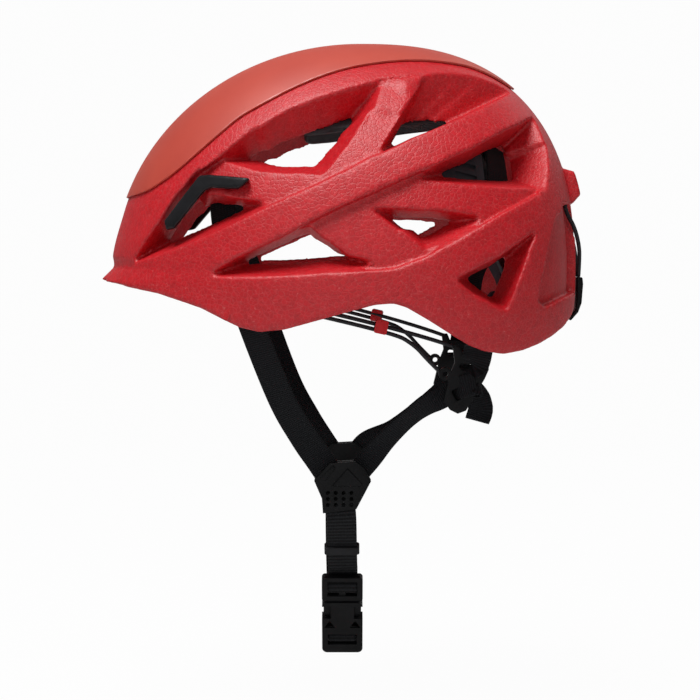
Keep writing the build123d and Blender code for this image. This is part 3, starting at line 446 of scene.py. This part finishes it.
satin = bpy.data.materials.new("cap_satin")
satin.use_nodes = True
tree = satin.node_tree
shader = tree.nodes["Principled BSDF"]
where = tree.nodes.new("ShaderNodeTexCoord")
cloud = tree.nodes.new("ShaderNodeTexNoise")
cloud.inputs["Scale"].default_value = 30
cloud.inputs["Detail"].default_value = 4
tone = tree.nodes.new("ShaderNodeValToRGB")
tone.color_ramp.elements[0].position = 0.35
tone.color_ramp.elements[0].color = srgb(192, 60, 40)
tone.color_ramp.elements[1].position = 0.65
tone.color_ramp.elements[1].color = srgb(199, 67, 46)
grain = tree.nodes.new("ShaderNodeTexNoise")
grain.inputs["Scale"].default_value = 1400
grain.inputs["Detail"].default_value = 2
bump = tree.nodes.new("ShaderNodeBump")
bump.inputs["Strength"].default_value = 0.12
bump.inputs["Distance"].default_value = 0.0001
shader.inputs["Roughness"].default_value = 0.46
shader.inputs["Specular IOR Level"].default_value = 0.9
shader.inputs["IOR"].default_value = 1.6
join(tree, (where, "Object", cloud, "Vector"), (where, "Object", grain, "Vector"),
     (cloud, "Fac", tone, "Fac"), (tone, "Color", shader, "Base Color"), (grain, "Fac", bump, "Height"),
     (bump, "Normal", shader, "Normal"))
cap_mesh.materials.append(satin)
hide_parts("crown_shell")
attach(cap, "root")


# ---------------------------------------------------------------- crown liner
# Black expanded-polystyrene block bonded into the crown of the cavity.
# It has the finer bead and the duller face of a denser foam than the shell's.
LINER_GAP, LINER_THICK = 0.0002, 0.010
liner = merged_copy("crown_liner", "liner")
evened(liner, 0.0022)
for _ in range(2):
    drawn_onto(liner.data, grown(CAVITY, -LINER_GAP), 0.0015, 1)
    drawn_onto(liner.data, grown(CAVITY, -LINER_GAP - LINER_THICK), 0.0015, -1)
    relaxed(liner.data, 2)
liner.data.shade_smooth()
black_bead = bpy.data.materials.new("black_bead")
black_bead.use_nodes = True
tree = black_bead.node_tree
shader = tree.nodes["Principled BSDF"]
where = tree.nodes.new("ShaderNodeTexCoord")
cells = tree.nodes.new("ShaderNodeTexVoronoi")
cells.inputs["Scale"].default_value = 480
tone = tree.nodes.new("ShaderNodeValToRGB")
tone.color_ramp.elements[0].color = srgb(34, 34, 37)
tone.color_ramp.elements[1].color = srgb(52, 52, 56)
bump = tree.nodes.new("ShaderNodeBump")
bump.inputs["Strength"].default_value = 0.4
bump.inputs["Distance"].default_value = 0.0003
bump.invert = True
shader.inputs["Roughness"].default_value = 0.6
join(tree, (where, "Object", cells, "Vector"), (cells, "Distance", tone, "Fac"),
     (tone, "Color", shader, "Base Color"), (cells, "Distance", bump, "Height"),
     (bump, "Normal", shader, "Normal"))
liner.data.materials.append(black_bead)
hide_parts("crown_liner")
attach(liner, "root")


# ---------------------------------------------------------------- comfort pads
# Brushed knit over soft foam at the brow, the crown and the nape, held on by hook-and-loop.
# Each cushion is blown up as cloth from a slightly smaller block, so that it crowns between its edges.
SHRINK, MOST_SWELL = 0.0010, 0.0022
SWELL_FRAMES = 20


def stuffed(node, name, voxel):
    """A cushion swollen from its solid as pressed cloth."""
    obj = merged_copy(node, name)
    evened(obj, voxel)
    relaxed(obj.data, 3)
    co, no = points(obj.data), normals(obj.data)
    place(obj.data, co - no * SHRINK)
    before = points(obj.data)
    cloth = obj.modifiers.new("cloth", "CLOTH")
    cloth.settings.use_pressure = True
    cloth.settings.uniform_pressure_force = 4
    cloth.settings.quality = 4
    cloth.settings.effector_weights.gravity = 0
    for step in range(1, SWELL_FRAMES + 1):
        scene.frame_set(step)
    swollen = bpy.data.meshes.new_from_object(obj.evaluated_get(bpy.context.evaluated_depsgraph_get()))
    after = points(swollen)
    obj.modifiers.clear()
    scene.frame_set(1)
    move = after - before
    far = np.linalg.norm(move, axis=1, keepdims=True)
    place(obj.data, before + move * np.minimum(1, MOST_SWELL / np.maximum(far, 1e-9)))
    finer = obj.modifiers.new("finer", "SUBSURF")
    finer.levels = finer.render_levels = 1
    obj.data.shade_smooth()
    return obj


knit = bpy.data.materials.new("brushed_knit")
knit.use_nodes = True
tree = knit.node_tree
shader = tree.nodes["Principled BSDF"]
where = tree.nodes.new("ShaderNodeTexCoord")
fuzz = tree.nodes.new("ShaderNodeTexNoise")
fuzz.inputs["Scale"].default_value = 900
fuzz.inputs["Detail"].default_value = 6
tone = tree.nodes.new("ShaderNodeValToRGB")
tone.color_ramp.elements[0].position = 0.3
tone.color_ramp.elements[0].color = srgb(22, 22, 25)
tone.color_ramp.elements[1].position = 0.75
tone.color_ramp.elements[1].color = srgb(50, 50, 55)
bump = tree.nodes.new("ShaderNodeBump")
bump.inputs["Strength"].default_value = 0.5
bump.inputs["Distance"].default_value = 0.0003
shader.inputs["Roughness"].default_value = 0.95
shader.inputs["Sheen Weight"].default_value = 0.4
join(tree, (where, "Object", fuzz, "Vector"), (fuzz, "Fac", tone, "Fac"),
     (tone, "Color", shader, "Base Color"), (fuzz, "Fac", bump, "Height"), (bump, "Normal", shader, "Normal"))
for node, body, voxel in (
    ("crown_pad", "root", 0.003), ("brow_pad", "root", 0.0026), ("nape_pad", "cradle", 0.0024),
):
    pad = stuffed(node, node.replace("_pad", "_cushion"), voxel)
    pad.data.materials.append(knit)
    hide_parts(node)
    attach(pad, body)


# ---------------------------------------------------------------- moulded fittings
# Injection-moulded pieces, of which the lamp clips are made here: each slides on a stud in a temple strut.
# Their edges carry the small radius of a mould, and their faces a fine spark texture.
# The hardware, hook and cradle sections further down use the same edges and finishes.
def moulded(name, tone_low, tone_high, rough, shine=0.28):
    """Moulded plastic with a fine texture and slight differences of gloss."""
    material = bpy.data.materials.new(name)
    material.use_nodes = True
    tree = material.node_tree
    shader = tree.nodes["Principled BSDF"]
    where = tree.nodes.new("ShaderNodeTexCoord")
    grain = tree.nodes.new("ShaderNodeTexNoise")
    grain.inputs["Scale"].default_value = 1800
    grain.inputs["Detail"].default_value = 3
    cloud = tree.nodes.new("ShaderNodeTexNoise")
    cloud.inputs["Scale"].default_value = 90
    cloud.inputs["Detail"].default_value = 3
    tone = tree.nodes.new("ShaderNodeValToRGB")
    tone.color_ramp.elements[0].position = 0.35
    tone.color_ramp.elements[0].color = tone_low
    tone.color_ramp.elements[1].position = 0.65
    tone.color_ramp.elements[1].color = tone_high
    gloss = tree.nodes.new("ShaderNodeMapRange")
    gloss.inputs["To Min"].default_value = rough - 0.06
    gloss.inputs["To Max"].default_value = rough + 0.08
    bump = tree.nodes.new("ShaderNodeBump")
    bump.inputs["Strength"].default_value = 0.5
    bump.inputs["Distance"].default_value = 0.00006
    shader.inputs["Specular IOR Level"].default_value = shine
    join(tree, (where, "Object", grain, "Vector"), (where, "Object", cloud, "Vector"),
         (cloud, "Fac", tone, "Fac"), (tone, "Color", shader, "Base Color"), (cloud, "Fac", gloss, "Value"),
         (gloss, "Result", shader, "Roughness"), (grain, "Fac", bump, "Height"),
         (bump, "Normal", shader, "Normal"))
    return material


SHARP = radians(28)


def edged(node, name, width, material, body="root"):
    """A solid's own shape with every sharp edge rounded as a mould's is."""
    obj = merged_copy(node, name)
    shape = bmesh.new()
    shape.from_mesh(obj.data)
    bmesh.ops.dissolve_limit(shape, angle_limit=radians(2), verts=shape.verts, edges=shape.edges)
    sharp = [e for e in shape.edges if len(e.link_faces) == 2 and e.calc_face_angle() > SHARP]
    bmesh.ops.bevel(shape, geom=sharp, offset=width, offset_type="OFFSET", segments=3, profile=0.5,
                    affect="EDGES", clamp_overlap=True, material=-1, loop_slide=True)
    bmesh.ops.triangulate(shape, faces=[f for f in shape.faces if len(f.verts) > 4])
    shape.to_mesh(obj.data)
    shape.free()
    obj.data.shade_smooth()
    obj.data.set_sharp_from_angle(angle=radians(40))
    obj.data.materials.append(material)
    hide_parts(node)
    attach(obj, body)
    return obj


satin_black = moulded("satin_black", srgb(20, 20, 22), srgb(28, 28, 31), 0.36)
fitting_black = moulded("fitting_black", srgb(11, 11, 12), srgb(18, 18, 20), 0.36, shine=0.16)
frame_grey = moulded("frame_grey", srgb(46, 47, 52), srgb(58, 59, 65), 0.5)
dial_black = moulded("dial_black", srgb(34, 34, 37), srgb(46, 46, 50), 0.42)
clip_red = moulded("clip_red", srgb(196, 26, 34), srgb(214, 38, 44), 0.38)
white_acetal = moulded("white_acetal", srgb(205, 204, 198), srgb(220, 219, 213), 0.35)
soft_rubber = moulded("soft_rubber", srgb(24, 24, 26), srgb(33, 33, 36), 0.66)
zinc = moulded("zinc", srgb(150, 152, 156), srgb(176, 178, 182), 0.34)
zinc.node_tree.nodes["Principled BSDF"].inputs["Metallic"].default_value = 1.0

for side, body in (("left", "clip_left"), ("right", "clip_right")):
    clip = merged_copy("headlamp_clip_" + side, "lamp_clip_" + side)
    evened(clip, 0.0009)
    for _ in range(2):
        drawn_onto(clip.data, grown(OUTER, 0.0015), 0.0012, 1, flatness=0.7)
        relaxed(clip.data, 2)
    clip.data.shade_smooth()
    clip.data.materials.append(satin_black)
    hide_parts("headlamp_clip_" + side)
    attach(clip, body)


# ---------------------------------------------------------------- webbing
# Flat-woven black polyester: the front and rear straps of each side, the lower straps from the dividers
# to the adjusters, and their loose ends. The long straps are sewn to anchor feet inside the foam.
OUTWARD = (0, -1, 0)


def wall(x, z, inset):
    """A place just inside the cavity wall's left side, and the wall's normal there."""
    high = max(z, 0.0)
    half = CAVITY[3] / CAVITY[2] * sqrt(max(0.0, crest(x, CAVITY) ** 2 - high * high))
    at = np.array([[x, -half, high]])
    normal = facing(at, CAVITY)[0]
    if z < 0:
        normal[2] = 0
        normal /= np.linalg.norm(normal)
    return tuple(at[0] - normal * inset + np.array([0, 0, min(z, 0.0)])), tuple(normal)


def ribbon(name, stations, width, thickness, step=0.0015):
    """Webbing through (point, face normal) stations: a closed flat tube, with UVs in metres."""
    line = np.array([p for p, _ in stations], float)
    face = np.array([n for _, n in stations], float)
    count = len(stations) - 1
    ts = np.linspace(0, count, count * 24 + 1)
    path = through(line, ts)
    lift = through(face, ts)
    run = np.gradient(path, axis=0)
    run /= np.linalg.norm(run, axis=1, keepdims=True)
    across = np.cross(run, lift)
    across /= np.linalg.norm(across, axis=1, keepdims=True)
    lift = np.cross(across, run)
    travelled = np.concatenate([[0], np.cumsum(np.linalg.norm(np.diff(path, axis=0), axis=1))])
    rows = max(8, int(travelled[-1] / step))
    stops = np.linspace(0, travelled[-1], rows + 1)
    path, across, lift = [np.stack([np.interp(stops, travelled, a[:, k]) for k in range(3)], axis=1)
                          for a in (path, across, lift)]
    half, deep = width / 2, thickness / 2
    round_by = deep * 0.9
    ring = [(s * (half - round_by), deep) for s in np.linspace(-1, 1, 9)]
    ring += [(half - round_by + round_by * sin(t), deep * cos(t)) for t in (pi / 4, pi / 2, 3 * pi / 4)]
    ring += [(s * (half - round_by), -deep) for s in np.linspace(1, -1, 9)]
    ring += [(-half + round_by - round_by * sin(t), -deep * cos(t)) for t in (pi / 4, pi / 2, 3 * pi / 4)]
    around = len(ring)
    shape = bmesh.new()
    bmesh.ops.create_grid(shape, x_segments=rows, y_segments=around, size=0.5)
    sheet_uv = shape.loops.layers.uv.new("weave")
    spots = {}
    for vert in shape.verts:
        i, j = round((vert.co.x + 0.5) * rows), round((vert.co.y + 0.5) * around)
        a, b = ring[j % around]
        spots[vert] = (stops[i], a)
        vert.co = Vector(path[i] + across[i] * a + lift[i] * b)
    for one in shape.faces:
        for loop in one.loops:
            loop[sheet_uv].uv = spots[loop.vert]
    bmesh.ops.remove_doubles(shape, verts=shape.verts, dist=1e-7)
    bmesh.ops.holes_fill(shape, edges=[e for e in shape.edges if e.is_boundary], sides=0)
    bmesh.ops.recalc_face_normals(shape, faces=shape.faces)
    mesh = bpy.data.meshes.new(name)
    shape.to_mesh(mesh)
    shape.free()
    mesh.shade_smooth()
    obj = bpy.data.objects.new(name, mesh)
    scene.collection.objects.link(obj)
    return obj


def mirrored(stations):
    """The same stations on the other side of the helmet."""
    return [((p[0], -p[1], p[2]), (n[0], -n[1], n[2])) for p, n in stations]


WAVE = 2 * pi / 20                       # the scale that gives a wave texture bands a metre apart
WARP_PITCH = 0.0009


def woven(name, rib, rib_depth, low, high):
    """Webbing material on the weave UVs: cross ribs and fine warp."""
    material = bpy.data.materials.new(name)
    material.use_nodes = True
    tree = material.node_tree
    shader = tree.nodes["Principled BSDF"]
    uv = tree.nodes.new("ShaderNodeUVMap")
    uv.uv_map = "weave"
    ribs = tree.nodes.new("ShaderNodeTexWave")
    ribs.wave_type = "BANDS"
    ribs.bands_direction = "X"
    ribs.inputs["Scale"].default_value = WAVE / rib
    warp = tree.nodes.new("ShaderNodeTexWave")
    warp.wave_type = "BANDS"
    warp.bands_direction = "Y"
    warp.inputs["Scale"].default_value = WAVE / WARP_PITCH
    fuzz = tree.nodes.new("ShaderNodeTexNoise")
    fuzz.inputs["Scale"].default_value = 2200
    fuzz.inputs["Detail"].default_value = 3
    sum_up = tree.nodes.new("ShaderNodeMath")
    sum_up.operation = "MULTIPLY_ADD"
    sum_up.inputs[1].default_value = 0.35
    # The raised ribs and warp threads are painted paler than the hollows between them: the relief is real, the
    # paler crests are a painted highlight.
    tone = tree.nodes.new("ShaderNodeValToRGB")
    tone.color_ramp.elements[0].position = 0.25
    tone.color_ramp.elements[0].color = low
    tone.color_ramp.elements[1].position = 1.0
    tone.color_ramp.elements[1].color = high
    bump = tree.nodes.new("ShaderNodeBump")
    bump.inputs["Strength"].default_value = 0.8
    bump.inputs["Distance"].default_value = rib_depth
    shader.inputs["Roughness"].default_value = 0.8
    shader.inputs["Specular IOR Level"].default_value = 0.2
    shader.inputs["Sheen Weight"].default_value = 0.04
    join(tree, (uv, "UV", ribs, "Vector"), (uv, "UV", warp, "Vector"), (uv, "UV", fuzz, "Vector"),
         (warp, "Fac", sum_up, 0), (ribs, "Fac", sum_up, 2), (sum_up, 0, tone, "Fac"),
         (tone, "Color", shader, "Base Color"), (sum_up, 0, bump, "Height"),
         (bump, "Normal", shader, "Normal"))
    return material


plain_web = woven("plain_webbing", 0.0012, 0.00018, srgb(9, 9, 11), srgb(26, 27, 31))
ribbed_web = woven("ribbed_webbing", 0.0023, 0.00045, srgb(8, 8, 9), srgb(30, 31, 34))
WEB, WEB_THICK = 0.016, 0.0015
WALL_INSET = WEB_THICK / 2 + 0.0011
# The divider holds one strap each side of its middle plane.
DIVIDER_Y = -0.0484
LAYER = WEB_THICK / 2 + 0.0002
front = [wall(-0.068, 0.050, WALL_INSET), wall(-0.067, 0.033, WALL_INSET), wall(-0.063, 0.012, WALL_INSET),
         wall(-0.057, -0.008, WALL_INSET), wall(-0.050, -0.030, WALL_INSET),
         ((-0.034, -0.063, -0.070), (-0.25, -0.95, -0.15)), ((-0.022, -0.0545, -0.092), (-0.1, -1, -0.1)),
         ((-0.0135, DIVIDER_Y - LAYER, -0.105), OUTWARD), ((-0.0085, DIVIDER_Y - LAYER, -0.1125), OUTWARD)]
rear = [wall(0.086, 0.071, WALL_INSET), wall(0.087, 0.058, WALL_INSET), wall(0.087, 0.044, WALL_INSET),
        wall(0.085, 0.030, WALL_INSET), wall(0.079, 0.016, WALL_INSET), wall(0.0715, 0.002, WALL_INSET),
        wall(0.069, -0.010, WALL_INSET), wall(0.070, -0.024, WALL_INSET),
        ((0.0746, -0.0694, -0.0356), (0.3, -0.95, 0)), ((0.0748, -0.0650, -0.0420), OUTWARD),
        ((0.0738, -0.0640, -0.0480), OUTWARD), ((0.0722, -0.0622, -0.0522), (0, -0.8, 0.6)),
        ((0.0718, -0.0590, -0.0528), (0, -0.2, 1)), ((0.0722, -0.0560, -0.0500), (0, 1, 0.3))]
lower = [((0.008, DIVIDER_Y + LAYER, -0.1135), OUTWARD), ((0.0145, DIVIDER_Y + LAYER, -0.106), OUTWARD),
         ((0.0242, -0.049, -0.0944), (0.35, -1, -0.35)), ((0.0360, -0.0515, -0.0826), (0.5, -1, -0.5)),
         ((0.0462, -0.0550, -0.0744), (0.25, -1, -0.3)), ((0.0545, -0.0556, -0.0700), OUTWARD),
         ((0.0605, -0.0568, -0.0660), (-0.3, -1, 0)), ((0.0645, -0.0612, -0.0640), (-0.5, -0.8, 0)),
         ((0.0685, -0.0640, -0.0625), OUTWARD), ((0.0735, -0.0636, -0.0615), (0.3, -1, 0))]
tail = [((0.0745, -0.0622, -0.0610), (0.7, -0.7, 0)), ((0.0762, -0.0590, -0.0640), (1, 0, 0.2)),
        ((0.0755, -0.0562, -0.0690), (0.4, -0.9, 0)), ((0.0768, -0.0554, -0.0765), OUTWARD),
        ((0.0748, -0.0566, -0.0830), (-0.3, -1, 0.2))]
# The right lower strap hangs a little slacker than the left one.
SLACK = (0, 0, 0.0050, 0.0070, 0.0075, 0.0060, 0.0035, 0.0010, 0, 0)
slacker = [((p[0] + d, p[1], p[2] - d), n) for (p, n), d in zip(lower, SLACK)]
for label, left, right, width, thickness, node in (
    ("front_strap", front, front, WEB, WEB_THICK, "front_webbing"),
    ("rear_strap", rear, rear, WEB, WEB_THICK, "rear_webbing"),
    ("lower_strap", lower, slacker, 0.013, WEB_THICK, "rear_strap"),
    ("strap_end", tail, tail, 0.014, 0.0014, "strap_tail"),
):
    for side, stations in (("left", left), ("right", mirrored(right))):
        strap = ribbon(label + "_" + side, stations, width, thickness)
        strap.data.materials.append(plain_web)
        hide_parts(node + "_" + side)
        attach(strap, "root")


# ---------------------------------------------------------------- chin strap
# Coarse-ribbed webbing. The left length hangs from its divider to the buckle's insert; the right one
# runs from its divider round the bar of the buckle's housing.
CHIN_WEB = 0.0168
BUCKLE_TOP = np.array((-0.0004, -0.026, -0.1756))
LEAN = radians(21)
DOWN = np.array((0, sin(LEAN), -cos(LEAN)))
OUT = np.array((0, -cos(LEAN), -sin(LEAN)))
strap_top = np.array((-0.0016, DIVIDER_Y, -0.130))
strap_mid = np.array((-0.0008, DIVIDER_Y + 0.0022, -0.1395))
strap_foot = BUCKLE_TOP - DOWN * 0.0007 - OUT * 0.0014 + (0.0004, 0, 0)
way = (strap_foot - strap_mid) / np.linalg.norm(strap_foot - strap_mid)
outface = np.cross(way, (1, 0, 0))
outface = outface if outface[1] < 0 else -outface
half_way = (strap_mid + strap_foot) / 2
left_run = [(strap_top, OUTWARD), (strap_mid, np.array(OUTWARD) * 0.6 + outface * 0.4), (half_way, outface),
            (strap_mid + way * 0.033, outface), (strap_foot - DOWN * 0.004, outface)]
# The end is rolled round the insert's bar: each place and facing below is given down and out from its top.
for down, out, faces_down, faces_out in (
    (0.0010, -0.0043, 0, 1), (0.0060, -0.0046, 0.1, 1), (0.0104, -0.0034, -1, 1), (0.0112, -0.0010, -1, -0.3),
    (0.0094, 0.0010, -0.6, -1), (0.0070, 0.0017, 0, -1), (0.0046, 0.0010, 0.6, -1), (0.0034, -0.0008, 1, -0.4),
    (0.0046, -0.0024, 1, 1),
):
    rolled = BUCKLE_TOP + DOWN * down + OUT * out
    left_run.append(((strap_foot[0], rolled[1], rolled[2]), DOWN * faces_down + OUT * faces_out))
chin_left = ribbon("chin_strap_left", left_run, CHIN_WEB, WEB_THICK, step=0.0008)
chin_left.data.materials.append(ribbed_web)
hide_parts("chin_webbing_left")
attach(chin_left, "root")

# The strap's free end is coiled round the housing's bar.
bar = BUCKLE_TOP + DOWN * 0.0409
exit_at = bar - OUT * 0.0076
coil, skew = 0.00245, 0.0017
right_run = [
    ((-0.003, -DIVIDER_Y, -0.130), (0, 1, 0)), ((-0.0029, -DIVIDER_Y - 0.0024, -0.139), (0, 1, -0.2)),
    ((-0.0024, 0.026, -0.168), (0, 0.87, -0.5)), (exit_at + (-0.0004, 0.004, 0.0044), (0, 0.65, -0.76)),
    (exit_at + OUT * 0.003 - DOWN * 0.0005, DOWN), (bar - OUT * 0.0008 + DOWN * coil, DOWN),
    (bar + OUT * skew + DOWN * skew, OUT + DOWN), (bar + OUT * coil, OUT),
    (bar + OUT * skew - DOWN * skew, OUT - DOWN), (bar - OUT * 0.0003 - DOWN * coil, -DOWN)]
chin_right = ribbon("chin_strap_right", right_run, WEB, WEB_THICK, step=0.0008)
chin_right.data.materials.append(ribbed_web)
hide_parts("chin_webbing_right", "chin_loop")
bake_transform(chin_right)


# ---------------------------------------------------------------- strap hardware
# Moulded plates that the webbing threads through: an adjuster under each ear, the two-piece dividers closed
# round the straps, the anchor feet pressed into the foam, and the cords' red sliders.
# The keeper band is soft rubber, and the side-release buckle parts into insert and housing.
PANEL_FOOT, PANEL_TOP = 0.05289, 0.0534  # just inside the cover's flat face, and the panels' own faces
PANEL_TAPER = 0.88


def embossed(obj, outlines, foot, top):
    """Low raised panels with sloping sides, added to a fitting's flat outer face."""
    shape = bmesh.new()
    shape.from_mesh(obj.data)
    for outline in outlines:
        panel = shape.faces.new([shape.verts.new((x, foot, z)) for x, z in outline])
        drawn = bmesh.ops.extrude_face_region(shape, geom=[panel])
        risen = [g for g in drawn["geom"] if isinstance(g, bmesh.types.BMVert)]
        middle = sum((v.co for v in risen), Vector()) / len(risen)
        for vert in risen:
            vert.co = middle + (vert.co - middle) * PANEL_TAPER
            vert.co.y = top
    bmesh.ops.recalc_face_normals(shape, faces=shape.faces)
    shape.to_mesh(obj.data)
    shape.free()
    obj.data.set_sharp_from_angle(angle=radians(40))


DIVIDER_PANELS = [
    [(-0.0067, -0.1201), (0.0025, -0.1097), (0.0111, -0.1187), (0.0111, -0.1205)],
    [(-0.0131, -0.1159), (-0.0053, -0.1080), (-0.0040, -0.1098), (-0.0106, -0.1176)],
]
for side in ("left", "right"):
    edged("strap_adjuster_" + side, "adjuster_" + side, 0.0011, fitting_black)
    cover = edged("divider_cover_" + side, "divider_front_" + side, 0.0006, fitting_black)
    outward = -1 if side == "left" else 1
    embossed(cover, DIVIDER_PANELS, outward * PANEL_FOOT, outward * PANEL_TOP)
    edged("divider_base_" + side, "divider_back_" + side, 0.0005, fitting_black)
    edged("front_anchor_" + side, "front_foot_" + side, 0.0003, fitting_black)
    edged("rear_anchor_" + side, "rear_foot_" + side, 0.0003, fitting_black)
    edged("cord_anchor_" + side, "cord_foot_" + side, 0.0008, fitting_black)
    edged("cord_clip_" + side, "cord_slider_" + side, 0.0007, clip_red)
edged("strap_keeper", "keeper", 0.0005, soft_rubber, body="keeper")
edged("buckle_male", "buckle_insert", 0.0006, fitting_black)
edged("buckle_prongs", "buckle_ears", 0.0003, fitting_black)
edged("buckle_female", "buckle_housing", 0.0006, fitting_black, body="buckle_half")


# ---------------------------------------------------------------- temple cords
# Pairs of thin braided polyester cord from the foam above each ear, through the red slider, to the adjuster.
# They are drawn taut, and their ends are held inside the foot and the plate.
CORD = 0.0023
braid = bpy.data.materials.new("braided_cord")
braid.use_nodes = True
tree = braid.node_tree
shader = tree.nodes["Principled BSDF"]
where = tree.nodes.new("ShaderNodeTexCoord")
plait = tree.nodes.new("ShaderNodeTexVoronoi")
plait.inputs["Scale"].default_value = 1500
# The cells' middles are painted paler, and their edges, which the bump sinks into grooves, darker: painted
# highlight on the strands and painted shade in the grooves.
tone = tree.nodes.new("ShaderNodeValToRGB")
tone.color_ramp.elements[0].color = srgb(44, 44, 50)
tone.color_ramp.elements[1].color = srgb(16, 16, 18)
bump = tree.nodes.new("ShaderNodeBump")
bump.inputs["Strength"].default_value = 0.6
bump.inputs["Distance"].default_value = 0.0002
bump.invert = True
shader.inputs["Roughness"].default_value = 0.7
join(tree, (where, "Object", plait, "Vector"), (plait, "Distance", tone, "Fac"),
     (tone, "Color", shader, "Base Color"), (plait, "Distance", bump, "Height"),
     (bump, "Normal", shader, "Normal"))


def strand(name, route, diameter):
    """A braided cord on one smooth curve through its route."""
    data = bpy.data.curves.new(name, "CURVE")
    data.dimensions = "3D"
    data.bevel_depth = diameter / 2
    data.bevel_resolution = 4
    data.resolution_u = 16
    data.use_fill_caps = True
    spline = data.splines.new("NURBS")
    spline.points.add(len(route) - 1)
    for point, at in zip(spline.points, route):
        point.co = (*at, 1)
    spline.order_u = 3
    spline.use_endpoint_u = True
    data.materials.append(braid)
    obj = bpy.data.objects.new(name, data)
    scene.collection.objects.link(obj)
    return obj


cord_start, cord_turn = np.array((-0.030, -0.0766, -0.0166)), np.array((0.031, -0.0712, -0.0304))
cord_way = (cord_turn - cord_start) / np.linalg.norm(cord_turn - cord_start)
drop = np.cross(cord_way, (0, 1, 0))
drop = drop / np.linalg.norm(drop) * 0.003
drop = drop if drop[2] < 0 else -drop
routes = {
    "upper": [cord_start, cord_turn, np.array((0.0622, -0.0602, -0.0414))],
    "lower": [cord_start + drop, cord_turn + drop - cord_way * 0.003, np.array((0.0398, -0.067, -0.0402)),
              np.array((0.047, -0.0635, -0.0486)), np.array((0.0546, -0.0602, -0.0560))],
}
for label, route in routes.items():
    for side, flip in (("left", 1), ("right", -1)):
        places = [(float(p[0]), float(p[1]) * flip, float(p[2])) for p in route]
        cord = strand(label + "_cord_" + side, places, CORD)
        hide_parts("temple_cord_" + label + "_" + side)
        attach(cord, "root")


# ---------------------------------------------------------------- rear lamp bungee and hook
# Elastic cord knotted in two holes of the tail block and pulled down to a moulded hook,
# which a headlamp's strap slips under.
legs = [(0.1275, 0.016, 0.0381), (0.1282, 0.016, 0.0335), (0.1332, 0.0155, 0.0255), (0.1366, 0.0125, 0.014),
        (0.1372, 0.008, 0.0045), (0.1372, 0.004, -0.0034)]
for side, flip in (("left", -1), ("right", 1)):
    places = [(x, y * flip, z) for x, y, z in legs]
    leg = strand("bungee_" + side, places, 0.0024)
    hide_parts("lamp_bungee")
    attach(leg, "lamp_loop")
edged("lamp_hook", "bungee_hook", 0.0008, fitting_black, body="lamp_loop")


# ---------------------------------------------------------------- fit cradle
# Hanger plates on the cavity wall, and the cradle that hangs from their pins at the nape.
# A dial turns a pinion between two toothed rack arms, which draw the band in; screws close its case.
PIN_AXIS = np.array((0.0705, 0.038))     # x and z of the hanger pins' axis
PIN_SHARE = 0.97                         # the pins are drawn a little thin, so their facets clear the eyes
for side in ("left", "right"):
    edged("cradle_hanger_" + side, "hanger_" + side, 0.0005, frame_grey)
    pin = edged("hanger_pin_" + side, "pin_" + side, 0.0004, frame_grey)
    turned = points(pin.data)
    turned[:, [0, 2]] = PIN_AXIS + (turned[:, [0, 2]] - PIN_AXIS) * PIN_SHARE
    place(pin.data, turned)
    edged("rack_arm_" + side, "arm_" + side, 0.00012, frame_grey, body="rack_" + side)
edged("rear_cradle", "cradle_back", 0.0005, frame_grey, body="cradle")
edged("cradle_cover", "cradle_front", 0.0004, frame_grey, body="cradle")
edged("cradle_screws", "screws", 0.0003, zinc, body="cradle")
edged("fit_dial", "dial", 0.0004, dial_black, body="dial")
edged("dial_pinion", "pinion", 0.00008, white_acetal, body="dial")
